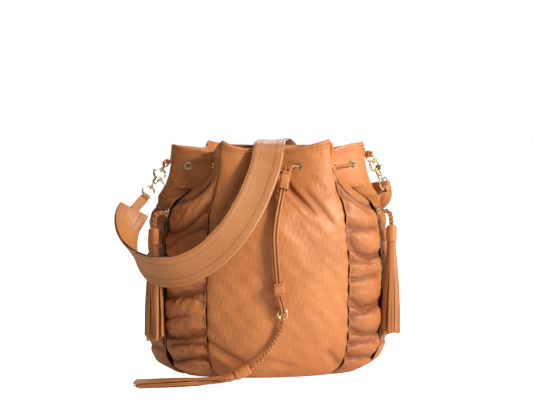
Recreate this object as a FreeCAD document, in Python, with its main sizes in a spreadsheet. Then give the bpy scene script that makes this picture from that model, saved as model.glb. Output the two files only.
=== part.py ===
import FreeCAD, Part
import math
import os

# A leather drawstring bucket bag, standing on its base. +Z is up and -Y is the front.
# The origin is the middle of the flat base. Every length is in millimetres.

Vec = FreeCAD.Vector
doc = FreeCAD.newDocument("bucket_bag")

# ---------------------------------------------------------------- driving dimensions

SIZES = {
    "bag_height": 300.0,
    "rim_height": 292.0,
    "belly_half_width": 158.0,
    "belly_half_depth": 97.0,
    "base_half_width": 125.0,
    "base_half_depth": 72.0,
    "collar_half_width": 111.0,
    "collar_half_depth": 66.0,
    "leather": 1.6,
    "lining_cloth": 0.6,
    "layer_gap": 0.35,
    "board": 2.4,
    "ruche_puff": 6.0,
    "gusset_puff": 2.0,
    "eyelet_height": 268.0,
    "eyelet_bore": 3.0,
    "eyelet_flange": 5.4,
    "eyelet_lip": 0.9,
    "string_dia": 3.6,
    "zip_radius": 560.0,
    "zip_low": 36.0,
    "zip_high": 216.0,
    "zip_tape": 6.0,
    "zip_teeth": 3.2,
    "slider_long": 11.0,
    "slider_wide": 7.0,
    "strap_width": 40.0,
    "strap_thick": 3.6,
    "ring_radius": 7.0,
    "ring_wire": 1.2,
    "hook_radius": 7.5,
    "hook_wire": 1.6,
    "eye_radius": 4.2,
    "eye_wire": 1.1,
    "stem_radius": 3.2,
    "stem_long": 7.0,
    "link_play": 0.25,
    "tab_width": 8.0,
    "braid_dia": 6.0,
    "cap_radius": 7.0,
    "cap_long": 20.0,
    "fringe_long": 136.0,
    "fringe_radius": 17.0,
    "cinch_long": 24.0,
    "keeper_long": 16.0,
    "keeper_wall": 2.2,
    "strand_pack": 8.4,
    "front_ring_radius": 6.0,
    "front_ring_wire": 1.0,
    "strap_ring_radius": 8.0,
}

sheet = doc.addObject("Spreadsheet::Sheet", "Sizes")
for row, (alias, size) in enumerate(SIZES.items(), start=1):
    sheet.set(f"A{row}", alias)
    sheet.set(f"B{row}", str(size))
    sheet.setAlias(f"B{row}", alias)
doc.recompute()

nodes = {}


def size(alias):
    return float(sheet.get(alias))


def bind(obj, **expressions):
    """Ties an object's sizes to the cells of the sheet."""
    for prop, expression in expressions.items():
        obj.setExpression(prop, expression)
    return obj


def primitive(kind, name, placement=None, **expressions):
    obj = doc.addObject(kind, name)
    bind(obj, **expressions)
    if placement is not None:
        obj.Placement = placement
    return obj


def keep(label, obj):
    """Names a sub-part. Its label names its file."""
    obj.Label = label
    nodes[label] = obj
    return obj


def keep_shape(label, shape, placement=None):
    obj = doc.addObject("Part::Feature", label)
    obj.Shape = shape
    if placement is not None:
        obj.Placement = placement
    return keep(label, obj)


def axes_placement(origin, along_z, along_x):
    """A placement whose own Z and X lie along the two directions."""
    z = Vec(along_z).normalize()
    x = Vec(along_x)
    x = (x - z * x.dot(z)).normalize()
    y = z.cross(x)
    turn = FreeCAD.Rotation(x, y, z, "ZXY")
    return FreeCAD.Placement(Vec(origin), turn)


# ---------------------------------------------------------------- the bag's own surface

H = size("bag_height")
BELLY_A, BELLY_B = size("belly_half_width"), size("belly_half_depth")
BASE_A, BASE_B = size("base_half_width"), size("base_half_depth")
COLLAR_A, COLLAR_B = size("collar_half_width"), size("collar_half_depth")
EYELET_Z = size("eyelet_height")
RIM_Z = size("rim_height")

# height, half width, half depth and share of the six gathers, from the base to the rim
STATIONS = [
    (0.0, BASE_A, BASE_B, 0.0),
    (0.047 * H, BASE_A + 0.6 * (BELLY_A - BASE_A), BASE_B + 0.6 * (BELLY_B - BASE_B), 0.0),
    (0.15 * H, BASE_A + 0.95 * (BELLY_A - BASE_A), BASE_B + 0.95 * (BELLY_B - BASE_B), 0.0),
    (0.333 * H, BELLY_A, BELLY_B, 0.0),
    (0.533 * H, BELLY_A - 1.0, BELLY_B, 0.0),
    (0.667 * H, BELLY_A - 6.0, BELLY_B - 4.0, 0.0),
    (0.74 * H, BELLY_A - 15.0, BELLY_B - 11.0, 0.02),
    (0.80 * H, COLLAR_A + 15.0, COLLAR_B + 9.0, 0.08),
    (EYELET_Z, COLLAR_A, COLLAR_B, 0.16),
    (RIM_Z, COLLAR_A - 2.0, COLLAR_B, 0.15),
]
GATHERS = 6
ARC_POINTS = 13


def smooth(z):
    """Half width, half depth and gather at any height, by a cubic through the stations."""
    last = len(STATIONS) - 1
    k = 0
    while k < last - 1 and z > STATIONS[k + 1][0]:
        k += 1
    before, low = STATIONS[max(k - 1, 0)], STATIONS[k]
    high, after = STATIONS[k + 1], STATIONS[min(k + 2, last)]
    span = high[0] - low[0]
    u = (z - low[0]) / span
    found = []
    for i in (1, 2, 3):
        slope_low = (high[i] - before[i]) / (high[0] - before[0]) * span
        slope_high = (after[i] - low[i]) / (after[0] - low[0]) * span
        found.append(
            (2 * u**3 - 3 * u**2 + 1) * low[i]
            + (u**3 - 2 * u**2 + u) * slope_low
            + (3 * u**2 - 2 * u**3) * high[i]
            + (u**3 - u**2) * slope_high
        )
    return found


def skin(turn, z, out=0.0):
    """A point of the bag's skin. turn is in degrees from the front, positive to +X."""
    a, b, gather = smooth(z)
    t = math.radians(turn)
    swell = 1.0 - gather * math.cos(GATHERS * t)
    return Vec((a * swell + out) * math.sin(t), -(b * swell + out) * math.cos(t), z)


def arc_of(turn_a, turn_b, z, out):
    steps = max(ARC_POINTS, int(abs(turn_b - turn_a) / 5.0))
    points = [skin(turn_a + (turn_b - turn_a) * k / steps, z, out) for k in range(steps + 1)]
    curve = Part.BSplineCurve()
    curve.interpolate(points)
    return curve.toShape(), points[0], points[-1]


def sector(turn_a, turn_b, heights, inner, outer):
    """A curved panel between two turns, from the inner to the outer offset of the skin."""
    wires = []
    for z in heights:
        outside, start_out, end_out = arc_of(turn_a, turn_b, z, outer)
        inside, start_in, end_in = arc_of(turn_a, turn_b, z, inner)
        end = Part.LineSegment(end_out, end_in).toShape()
        start = Part.LineSegment(start_in, start_out).toShape()
        wires.append(Part.Wire(Part.__sortEdges__([outside, end, inside, start])))
    return Part.makeLoft(wires, True, False)


def sleeve(heights, inner, outer):
    """A closed band right round the bag."""
    shells = []
    for out in (outer, inner):
        wires = []
        for z in heights:
            points = [skin(360.0 * k / 72, z, out) for k in range(72)]
            curve = Part.BSplineCurve()
            curve.interpolate(points, PeriodicFlag=True)
            wires.append(Part.Wire(curve.toShape()))
        shells.append(Part.makeLoft(wires, True, False))
    return shells[0].cut(shells[1])


def slab(z_low, z_high, out):
    """A flat plate of the base's outline."""
    points = [skin(360.0 * k / 72, 0.0, out) for k in range(72)]
    curve = Part.BSplineCurve()
    curve.interpolate(points, PeriodicFlag=True)
    face = Part.Face(Part.Wire(curve.toShape()))
    face.translate(Vec(0, 0, z_low))
    return face.extrude(Vec(0, 0, z_high - z_low))


LEATHER = size("leather")
GAP = size("layer_gap")
CLOTH = size("lining_cloth")
SIDE_TOP = 0.80 * H
HEIGHT_STEPS = [0.0, 0.023, 0.047, 0.09, 0.15, 0.24, 0.333, 0.433, 0.533, 0.6, 0.667, 0.70, 0.74, 0.77]
LOWER_HEIGHTS = [step * H for step in HEIGHT_STEPS] + [SIDE_TOP]
UPPER_HEIGHTS = [SIDE_TOP + GAP] + [SIDE_TOP + (RIM_Z - SIDE_TOP) * k / 6 for k in range(1, 7)]
RIM_HEIGHTS = LOWER_HEIGHTS + UPPER_HEIGHTS[1:]
FRONT_TURN = 35.0
ZIP_TURN = 63.5
ZIP_HALF_TURN = 2.2

EYELET_TURNS = [15.0 + 30.0 * k for k in range(12)]


def eyelet_frame(turn):
    """Where an eyelet sits, its outward direction and the direction round the rim."""
    place = skin(turn, EYELET_Z)
    along = (skin(turn + 1.0, EYELET_Z) - skin(turn - 1.0, EYELET_Z)).normalize()
    outward = along.cross(Vec(0, 0, 1)).normalize()
    return place, outward, along


def drilled(shape, low_turn, high_turn):
    """Cuts the eyelets' holes out of a layer of the rim."""
    hole = size("eyelet_bore") + 0.9
    for turn in EYELET_TURNS:
        signed = turn if turn <= 180 else turn - 360
        if not (low_turn < signed < high_turn or low_turn < turn < high_turn):
            continue
        place, outward, _ = eyelet_frame(turn)
        shape = shape.cut(Part.makeCylinder(hole, 24.0, place - outward * 12.0, outward))
    return shape


def make_panels():
    front = sector(-FRONT_TURN, FRONT_TURN, RIM_HEIGHTS, -LEATHER, 0.0)
    keep_shape("front_panel", drilled(front, -FRONT_TURN, FRONT_TURN))
    back = sector(180 - FRONT_TURN, 180 + FRONT_TURN, RIM_HEIGHTS, -LEATHER, 0.0)
    keep_shape("back_panel", drilled(back, 180 - FRONT_TURN, 180 + FRONT_TURN))
    puff = size("ruche_puff")
    for side, sign in (("right", 1), ("left", -1)):
        seam, zip_near = sign * FRONT_TURN, sign * (ZIP_TURN - ZIP_HALF_TURN)
        zip_far, rear = sign * (ZIP_TURN + ZIP_HALF_TURN), sign * (180 - ZIP_TURN)
        back_seam = sign * (180 - FRONT_TURN)
        ruche = sector(seam, zip_near, LOWER_HEIGHTS, -LEATHER, puff)
        keep_shape(f"{side}_front_ruched_panel", ruche)
        rear_ruche = sector(rear, back_seam, LOWER_HEIGHTS, -LEATHER, puff)
        keep_shape(f"{side}_rear_ruched_panel", rear_ruche)
        gusset = sector(zip_far, rear, LOWER_HEIGHTS, -LEATHER, size("gusset_puff"))
        keep_shape(f"{side}_gusset", gusset)
        collar = sector(seam, back_seam, UPPER_HEIGHTS, -LEATHER, 0.0)
        low, high = sorted((seam, back_seam))
        keep_shape(f"{side}_collar", drilled(collar, low, high))


def make_inside():
    base_top = 3.0
    keep_shape("base_panel", slab(0.0, base_top, -LEATHER - GAP))
    board_low = base_top + GAP
    board_high = board_low + size("board")
    keep_shape("base_board", slab(board_low, board_high, -LEATHER - 4.0))
    facing_low = EYELET_Z - 16.0
    facing_out = -LEATHER - GAP
    facing_heights = [facing_low] + [z for z in RIM_HEIGHTS if facing_low + 2 < z < RIM_Z - 2] + [RIM_Z - 1.0]
    facing = sleeve(facing_heights, facing_out - LEATHER / 2, facing_out)
    keep_shape("rim_facing", drilled(facing, -181, 181))
    lining_heights = [board_high + GAP] + [z for z in RIM_HEIGHTS if 12 < z < facing_low - 2]
    lining_heights.append(facing_low - GAP)
    lining_out = -LEATHER * 2 - GAP * 1.5
    wall = sleeve(lining_heights, lining_out - CLOTH, lining_out)
    floor_low = board_high + GAP
    floor = slab(floor_low, floor_low + CLOTH, -LEATHER - 4.0)
    keep_shape("lining", wall)
    keep_shape("lining_floor", floor)


# ---------------------------------------------------------------- eyelets and drawstring


def make_eyelets():
    """Twelve alike eyelets: one is turned from its section, and the rest are copies."""
    body = doc.addObject("PartDesign::Body", "eyelet_pattern")
    sketch = body.newObject("Sketcher::SketchObject", "eyelet_section")
    plane = [f for f in body.Origin.OriginFeatures if f.Role == "XZ_Plane"][0]
    sketch.AttachmentSupport = [(plane, "")]
    sketch.MapMode = "FlatFace"
    bore, flange, lip = size("eyelet_bore"), size("eyelet_flange"), size("eyelet_lip")
    depth = LEATHER + GAP + LEATHER / 2
    outline = [
        (bore, lip),
        (flange, lip),
        (flange, 0.12),
        (bore + 0.7, 0.12),
        (bore + 0.7, -depth - 0.12),
        (flange, -depth - 0.12),
        (flange, -depth - lip),
        (bore, -depth - lip),
    ]
    corners = [Vec(x, y, 0) for x, y in outline]
    for k, corner in enumerate(corners):
        sketch.addGeometry(Part.LineSegment(corner, corners[(k + 1) % len(corners)]))
    doc.recompute()
    turned = body.newObject("PartDesign::Revolution", "eyelet_turned")
    turned.Profile = sketch
    turned.ReferenceAxis = (sketch, ["V_Axis"])
    turned.Angle = 360.0
    doc.recompute()
    copies = []
    for turn in EYELET_TURNS:
        place, outward, along = eyelet_frame(turn)
        copy = body.Shape.copy()
        copy.Placement = axes_placement(place, outward, along)
        copies.append(copy)
    keep_shape("eyelets", Part.makeCompound(copies))


def rounded_route(points, radius_limit=None, name="route"):
    """Straight runs joined by tangent arcs, as large as the two runs allow."""
    edges = []
    start = points[0]
    radii = []
    for k in range(1, len(points) - 1):
        here, before, after = points[k], points[k - 1], points[k + 1]
        back, ahead = before - here, after - here
        run = min(back.Length, ahead.Length)
        back.normalize()
        ahead.normalize()
        turn = math.pi - back.getAngle(ahead)
        cut = 0.45 * run
        radius = cut / math.tan(turn / 2)
        if radius_limit and radius > radius_limit:
            radius = radius_limit
            cut = radius * math.tan(turn / 2)
        radii.append(round(radius, 1))
        first, last = here + back * cut, here + ahead * cut
        middle_way = (back + ahead).normalize()
        middle = here + middle_way * (radius / math.cos(turn / 2) - radius)
        edges.append(Part.LineSegment(start, first).toShape())
        edges.append(Part.Arc(first, middle, last).toShape())
        start = last
    edges.append(Part.LineSegment(start, points[-1]).toShape())
    print(name, "radii", radii)
    return Part.Wire(edges)


def tube(points, dia, radius_limit=None, name="route"):
    route = rounded_route(points, radius_limit, name)
    start_way = (points[1] - points[0]).normalize()
    ring = Part.Wire(Part.Circle(points[0], start_way, dia / 2).toShape())
    made = route.makePipeShell([ring], True, False)
    expected = route.Length * math.pi * dia * dia / 4
    if abs(made.Volume / expected - 1) > 0.02:
        raise ValueError(f"{name}: volume {made.Volume} instead of {expected}")
    return made


STRING = size("string_dia")
STRING_OUT = size("eyelet_lip") + STRING / 2 + 0.6
STRING_IN = LEATHER * 1.5 + GAP + size("eyelet_lip") + STRING / 2 + 0.6
CORNER = 1.0 * STRING


def string_corner(turn, outside):
    place, outward, _ = eyelet_frame(turn)
    return place + outward * (STRING_OUT if outside else -STRING_IN)


def string_start(side):
    """Where a hanging end takes over from the drawstring, between the eyelet and the cinch."""
    corner = string_corner(side * EYELET_TURNS[0], True)
    return corner + (strand_top(side) - corner) * 0.45


def make_drawstring():
    """It runs outside over each dip of the rim and inside behind each swell."""
    turns = EYELET_TURNS
    points = []
    outside = True
    for k, turn in enumerate(turns):
        points.append(string_corner(turn, outside))
        outside = not outside
        points.append(string_corner(turn, outside))
    points.insert(0, string_start(1))
    points.append(string_start(-1))
    keep_shape("drawstring", tube(points, STRING, CORNER, "drawstring"))


# ---------------------------------------------------------------- hanging ends at the front

# The four strands hang in line from the cinch, pass the keeper and turn round the front ring.
CINCH_TOP = Vec(13.0, -74.0, EYELET_Z)
FIRST_BEND = Vec(-3.0, -99.5, 214.0)
CINCH_WAY = (FIRST_BEND - CINCH_TOP).normalize()
CINCH_LONG = size("cinch_long")
KEEPER_TOP = Vec(-3.9, -107.0, 126.0)
KEEPER_LONG = size("keeper_long")
RING_R, RING_W = size("front_ring_radius"), size("front_ring_wire")
RING_MIDDLE = Vec(2.0, -107.0, 87.0)
STRAND_STEP = STRING / 2 + 0.15
FRONT = Vec(0, -1, 0)


def strand_top(side):
    return CINCH_TOP - CINCH_WAY * 3.0 + Vec(side * STRAND_STEP, -STRAND_STEP, 0)


def strand_points(side, layer):
    """The hand-laid middle line of one strand. layer is -1 in front and 1 behind."""
    aside = Vec(side * STRAND_STEP, layer * STRAND_STEP, 0)
    spread = Vec(0, layer * 1.3, 0)
    return [
        CINCH_TOP + aside,
        FIRST_BEND + aside,
        Vec(-8.0, -106.0, 184.0) + aside,
        Vec(-6.0, -107.0, 154.0) + aside,
        KEEPER_TOP + Vec(-0.6, 0, 7.0) + aside,
        KEEPER_TOP + Vec(1.6, 0, -20.0) + aside,
        RING_MIDDLE + Vec(0, 0, 8.0) + aside + spread,
    ]


def make_string_ends():
    turn_under = RING_MIDDLE + Vec(0, 0, 1.2)
    for name, side in (("right", 1), ("left", -1)):
        down, up = strand_points(side, -1), strand_points(side, 1)
        bottom = Vec(side * STRAND_STEP, 0, 0) + turn_under
        foot = [bottom + Vec(0, -STRAND_STEP - 1.3, 0), bottom + Vec(0, STRAND_STEP + 1.3, 0)]
        route = [string_start(side), strand_top(side)] + down[1:] + foot + up[::-1]
        keep_shape(f"{name}_string_end", tube(route, STRING, None, f"{name} string end"))


def leather_tube(label, top, way, long_cell, wall):
    """A square-holed leather barrel, padded along its own axis."""
    body = doc.addObject("PartDesign::Body", label)
    sketch = body.newObject("Sketcher::SketchObject", f"{label}_section")
    plane = [f for f in body.Origin.OriginFeatures if f.Role == "XY_Plane"][0]
    sketch.AttachmentSupport = [(plane, "")]
    sketch.MapMode = "FlatFace"
    for half in (size("strand_pack") / 2, size("strand_pack") / 2 + wall):
        corners = [Vec(half, half, 0), Vec(-half, half, 0), Vec(-half, -half, 0), Vec(half, -half, 0)]
        for k, corner in enumerate(corners):
            sketch.addGeometry(Part.LineSegment(corner, corners[(k + 1) % 4]))
    doc.recompute()
    pad = body.newObject("PartDesign::Pad", f"{label}_pad")
    pad.Profile = sketch
    pad.setExpression("Length", long_cell)
    doc.recompute()
    body.Placement = axes_placement(top, way, Vec(1, 0, 0))
    keep(label, body)


def ring(label, middle, normal, radius_cell, wire_cell):
    obj = primitive("Part::Torus", label, Radius1=radius_cell, Radius2=wire_cell)
    obj.Placement = axes_placement(middle, normal, Vec(0.3, 0.2, 0.9))
    keep(label, obj)


# ---------------------------------------------------------------- tassels

def braid_loop(middle, normal):
    """The braid's own eye round a ring's wire."""
    return Part.makeTorus(3.4, 1.2, middle, normal)


def cap(label, start, way):
    """A rolled leather cap, open below, with the cord's hole above."""
    outer = primitive("Part::Cylinder", f"{label}_outside", Radius="Sizes.cap_radius", Height="Sizes.cap_long")
    inner = primitive("Part::Cylinder", f"{label}_inside", Height="Sizes.cap_long")
    bind(inner, Radius="Sizes.cap_radius - Sizes.leather")
    inner.Placement = FreeCAD.Placement(Vec(0, 0, 4.0), FreeCAD.Rotation())
    cut = doc.addObject("Part::Cut", label)
    cut.Base, cut.Tool = outer, inner
    x_way = Vec(0, 0, 1).cross(way)
    cut.Placement = axes_placement(start, way, x_way if x_way.Length > 0.1 else Vec(1, 0, 0))
    keep(label, cut)


CAP_LONG = size("cap_long")
FRINGE_LONG = size("fringe_long")
FRONT_BRAID = [
    RING_MIDDLE + Vec(0, 0, -11.5),
    Vec(-0.8, -107.0, 66.0),
    Vec(-8.5, -106.5, 51.0),
    Vec(-19.0, -106.0, 37.0),
    Vec(-29.0, -105.0, 26.0),
    Vec(-37.5, -104.0, 19.5),
]
FRONT_CAP_WAY = Vec(-0.89, 0.04, -0.42).normalize()


def make_front_tassel():
    ring("front_ring", RING_MIDDLE, FRONT, "Sizes.front_ring_radius", "Sizes.front_ring_wire")
    braid = tube(FRONT_BRAID, size("braid_dia"), None, "front braid")
    loop = braid_loop(RING_MIDDLE + Vec(0, 0, -RING_R - 0.9), Vec(1, 0, 0))
    keep_shape("front_braid", braid.fuse(loop))
    start = FRONT_BRAID[-1] + FRONT_CAP_WAY * 1.2
    cap("front_tassel_cap", start, FRONT_CAP_WAY)
    lip = start + FRONT_CAP_WAY * (CAP_LONG + 1.0)
    spread = size("fringe_radius") * 1.3
    sections = [
        (start + FRONT_CAP_WAY * 4.4, 5.2, 5.2),
        (lip, 5.2, 5.2),
        (Vec(lip.x - 34.0, lip.y + 1.5, 7.6), 0.6 * spread, 6.2),
        (Vec(lip.x - FRINGE_LONG + 8.0, lip.y + 5.0, 6.6), spread, 6.0),
    ]
    wires = []
    for middle, wide, high in sections:
        wire = Part.Wire(Part.Ellipse(Vec(), wide + 0.01, high).toShape())
        way = FRONT_CAP_WAY if middle.x > lip.x - 1 else Vec(-1.0, 0.02, 0)
        wire.Placement = axes_placement(middle, way, Vec(0, 0, 1).cross(way))
        wires.append(wire)
    keep_shape("front_tassel_fringe", Part.makeLoft(wires, True, True))


# ---------------------------------------------------------------- side zips

ZIP_R = size("zip_radius")
ZIP_LOW, ZIP_HIGH = size("zip_low"), size("zip_high")
ZIP_MIDDLE_Z = 0.367 * H
belly_point = skin(ZIP_TURN, ZIP_MIDDLE_Z)
ZIP_REACH = math.hypot(belly_point.x, belly_point.y) + 1.5
SLIDER_REST_Z = ZIP_HIGH - 7.0


def zip_frame(sign, z):
    """Place, outward and upward directions on the zip's arc at a height."""
    flat = Vec(sign * belly_point.x, belly_point.y, 0).normalize()
    lift = math.asin((z - ZIP_MIDDLE_Z) / ZIP_R)
    middle = flat * (ZIP_REACH - ZIP_R) + Vec(0, 0, ZIP_MIDDLE_Z)
    outward = flat * math.cos(lift) + Vec(0, 0, math.sin(lift))
    upward = flat * -math.sin(lift) + Vec(0, 0, math.cos(lift))
    return middle, middle + outward * ZIP_R, outward, upward, flat


def arc_bar(sign, z_low, z_high, wide, low, high):
    """A bar bent to the zip's arc, from the low to the high offset of the skin."""
    middle, place, outward, upward, flat = zip_frame(sign, z_low)
    across = outward.cross(upward).normalize()
    corners = [
        place + across * (wide / 2) + outward * low,
        place + across * (wide / 2) + outward * high,
        place - across * (wide / 2) + outward * high,
        place - across * (wide / 2) + outward * low,
    ]
    face = Part.Face(Part.makePolygon(corners + corners[:1]))
    swing = math.asin((z_high - ZIP_MIDDLE_Z) / ZIP_R) - math.asin((z_low - ZIP_MIDDLE_Z) / ZIP_R)
    return face.revolve(middle, across, math.degrees(swing))


def make_zips():
    print("zip reach", ZIP_REACH, math.atan2(belly_point.x, -belly_point.y))
    for side, sign in (("right", 1), ("left", -1)):
        tape = arc_bar(sign, ZIP_LOW, ZIP_HIGH, size("zip_tape"), -0.8, -0.2)
        teeth = arc_bar(sign, ZIP_LOW + 1, ZIP_HIGH - 1, size("zip_teeth"), -0.2, 0.9)
        keep_shape(f"{side}_zip_chain", tape.fuse(teeth).removeSplitter())
        _, place, outward, upward, flat = zip_frame(sign, SLIDER_REST_Z)
        frame = axes_placement(place + outward * 1.25, outward, upward)
        make_slider(side, frame)
        make_side_tassel(side, sign, place, outward, upward, flat)


def make_slider(side, frame):
    """The slider's plate with its bail, over the teeth."""
    long, wide = size("slider_long"), size("slider_wide")
    plate = Part.makeBox(long, wide, 1.2, Vec(-long / 2, -wide / 2, 0))
    bail = Part.makeTorus(2.6, 0.8, Vec(-1.0, 0, 1.8), Vec(0, 1, 0))
    keep_box = Part.makeBox(long, wide, 12, Vec(-long / 2, -wide / 2, 0))
    keep_shape(f"{side}_zip_slider", plate.fuse(bail.common(keep_box)), frame)


TASSEL_TOP_Z = 190.0


def tassel_top(sign):
    flat = Vec(sign * belly_point.x, belly_point.y, 0).normalize()
    return flat * (ZIP_REACH + size("ruche_puff") + 5.3) + Vec(0, 0, TASSEL_TOP_Z)


def make_side_tassel(side, sign, place, outward, upward, flat):
    print("tassel hinge", (tassel_top(sign)).dot(flat), TASSEL_TOP_Z + 0.5)
    bail = place + outward * 3.05 - upward * 1.0
    eye = bail + outward * 4.6
    top = tassel_top(sign)
    route = [
        eye + outward * 3.6,
        eye + outward * 9.5 + Vec(0, 0, -5.5),
        top + Vec(0, 0, 9.0) - flat * 0.8,
        top,
    ]
    route[1] = (route[0] + route[2]) * 0.5 + flat * 3.0 + Vec(0, 0, 2.0)
    braid = tube(route, size("braid_dia"), None, f"{side} braid")
    across = outward.cross(upward).normalize()
    loop = Part.makeTorus(2.7, 0.9, bail + outward * 3.6, upward)
    neck = Part.makeCylinder(0.9, 3.2, bail + outward * 6.0, outward)
    keep_shape(f"{side}_braid", braid.fuse([loop, neck]))
    down = Vec(0, 0, -1)
    cap(f"{side}_tassel_cap", top + down * 0.4, down)
    strips = top + down * 5.4
    keep_shape(f"{side}_tassel_fringe", fringe_down(strips, flat))


def fringe_down(start, flat):
    """A hanging fringe: round under the cap, wider at its cut ends."""
    wires = []
    long = FRINGE_LONG
    for drop, wide in ((0.0, 5.2), (CAP_LONG - 4.0, 5.2), (long, size("fringe_radius"))):
        ring_at = Part.Ellipse(Vec(0, 0, 0), wide + 0.01, wide * (0.4 if drop == long else 1.0))
        wire = Part.Wire(ring_at.toShape())
        wire.Placement = axes_placement(start + Vec(0, 0, -drop), Vec(0, 0, 1), flat.cross(Vec(0, 0, 1)))
        wires.append(wire)
    return Part.makeLoft(wires, True, True)


# ---------------------------------------------------------------- strap and its fittings

TAB_BORE = size("ring_wire") + 1.6
TAB_LEFT = skin(-90.0, 0.903 * H, GAP + LEATHER * 2 + TAB_BORE - 0.3)
TAB_RIGHT = skin(90.0, 0.937 * H, GAP + LEATHER * 2 + TAB_BORE - 0.3)
# the way each chain of fittings hangs from its tab, and the way across the strap's end
LEFT_WAY, LEFT_ACROSS = Vec(-0.50, -0.46, -0.73), Vec(0.81, 0.0, -0.565)
RIGHT_WAY, RIGHT_ACROSS = Vec(0.50, 0.30, -0.81), Vec(0.62, 0.47, 0.62)
PLAY = size("link_play")
O_R, O_W = size("ring_radius"), size("ring_wire")
HOOK_R, HOOK_W = size("hook_radius"), size("hook_wire")
EYE_R, EYE_W = size("eye_radius"), size("eye_wire")
STRAP_RING_R = size("strap_ring_radius")
HOOK_AT = 2 * O_R - (O_W + HOOK_W + PLAY) + HOOK_R
STEM_AT = HOOK_AT + HOOK_R + 0.65
EYE_AT = STEM_AT + size("stem_long") + 0.35 + EYE_R + EYE_W
STRAP_RING_AT = EYE_AT + EYE_R - (EYE_W + O_W + PLAY) + STRAP_RING_R
CHAIN_LONG = STRAP_RING_AT + STRAP_RING_R
GATE_TURN = -50.0


def chain(side):
    """Start, way down the chain, across and third direction of a side's fittings."""
    start, way, across = (
        (TAB_LEFT, LEFT_WAY, LEFT_ACROSS) if side == "left" else (TAB_RIGHT, RIGHT_WAY, RIGHT_ACROSS)
    )
    way = Vec(way).normalize()
    across = (across - way * across.dot(way)).normalize()
    return start, way, across, across.cross(way).normalize()


def make_hook(side):
    """The hook's bow and stem in one, its sprung gate, and the swivel eye."""
    start, way, across, third = chain(side)
    frame = axes_placement(start + way * HOOK_AT, third * -1, across)
    # in this frame X lies across, Y points up the chain to the tab, and Z is the gate's pivot way
    bow = Part.makeTorus(HOOK_R, HOOK_W, Vec(), Vec(0, 0, 1), 0, 360, 240)
    bow.rotate(Vec(), Vec(0, 0, 1), 42)
    stem_low = -(STEM_AT - HOOK_AT + size("stem_long"))
    stem = Part.makeCylinder(size("stem_radius"), size("stem_long"), Vec(0, stem_low, 0), Vec(0, 1, 0))
    bore = Part.makeCylinder(1.56, 5.0, Vec(0, stem_low - 0.01, 0), Vec(0, 1, 0))
    pivot = Vec(
        HOOK_R * math.cos(math.radians(GATE_TURN)), HOOK_R * math.sin(math.radians(GATE_TURN)), 0
    )
    hook = bow.fuse(stem)
    for z in (-2.75, 1.85):
        ear = Part.makeCylinder(2.1, 0.9, pivot + Vec(0, 0, z), Vec(0, 0, 1))
        foot = Part.makeBox(pivot.x + 0.5, 3.6, 0.9, Vec(0, -HOOK_R - 2.2, z))
        hook = hook.fuse([ear, foot])
    pin_hole = Part.makeCylinder(0.8, 8.0, pivot + Vec(0, 0, -4.0), Vec(0, 0, 1))
    hook = hook.cut(bore).cut(pin_hole)
    keep_shape(f"{side}_snap_hook", hook, frame)
    gate = Part.makeTorus(HOOK_R, 1.15, Vec(), Vec(0, 0, 1), 0, 360, 76)
    gate.rotate(Vec(), Vec(0, 0, 1), GATE_TURN)
    barrel = Part.makeCylinder(1.9, 3.3, pivot + Vec(0, 0, -1.65), Vec(0, 0, 1))
    lever_way = Vec(0.9, -0.43, 0)
    lever = Part.makeCylinder(0.9, 7.5, pivot, lever_way)
    knob = Part.makeSphere(1.25, pivot + lever_way.normalize() * 7.5)
    gate = gate.fuse([barrel, lever, knob])
    gate = gate.cut(Part.makeCylinder(0.86, 8.0, pivot + Vec(0, 0, -4.0), Vec(0, 0, 1)))
    keep_shape(f"{side}_snap_gate", gate, frame)
    pin = Part.makeCylinder(0.8, 5.5, pivot + Vec(0, 0, -2.75), Vec(0, 0, 1))
    keep_shape(f"{side}_gate_pin", pin, frame)
    eye_frame = axes_placement(start + way * EYE_AT, across, way)
    eye = Part.makeTorus(EYE_R, EYE_W)
    post_top = -(EYE_AT - STEM_AT - size("stem_long") + 4.0)
    post = Part.makeCylinder(1.5, -post_top - EYE_R + 0.6, Vec(post_top, 0, 0), Vec(1, 0, 0))
    keep_shape(f"{side}_swivel_eye", eye.fuse(post), eye_frame)
    joint_notes(side, frame, pivot, start, way, across)


def joint_notes(side, frame, pivot, start, way, across):
    print(side, "gate pivot", frame.multVec(pivot), "axis", frame.Rotation.multVec(Vec(0, 0, 1)))
    print(side, "swivel", start + way * STEM_AT, "way", way, "across", across)
    print(side, "tab", start, "strap end", start + way * CHAIN_LONG)


def barrel_loop(middle, axis, wide, inner, outer):
    loop = Part.makeCylinder(outer, wide, middle - axis * (wide / 2), axis)
    return loop.cut(Part.makeCylinder(inner, wide + 2, middle - axis * (wide / 2 + 1), axis))


def make_fittings():
    for side, sign in (("left", -1), ("right", 1)):
        start, way, across, third = chain(side)
        ring(f"{side}_tab_ring", start + way * O_R, across, "Sizes.ring_radius", "Sizes.ring_wire")
        ring(
            f"{side}_strap_ring",
            start + way * STRAP_RING_AT,
            third,
            "Sizes.strap_ring_radius",
            "Sizes.ring_wire",
        )
        make_hook(side)
        loop = barrel_loop(start, third, size("tab_width"), TAB_BORE, TAB_BORE + LEATHER)
        tail_low, tail_high = start.z - 1.0, RIM_Z - 2.0
        steps = [tail_low + (tail_high - tail_low) * k / 3 for k in range(4)]
        tail = sector(sign * 87.0, sign * 93.0, steps, GAP, GAP + LEATHER)
        tail = tail.cut(Part.makeCylinder(TAB_BORE, 20, start - third * 10, third))
        keep_shape(f"{side}_tab", loop.fuse(tail))


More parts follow.
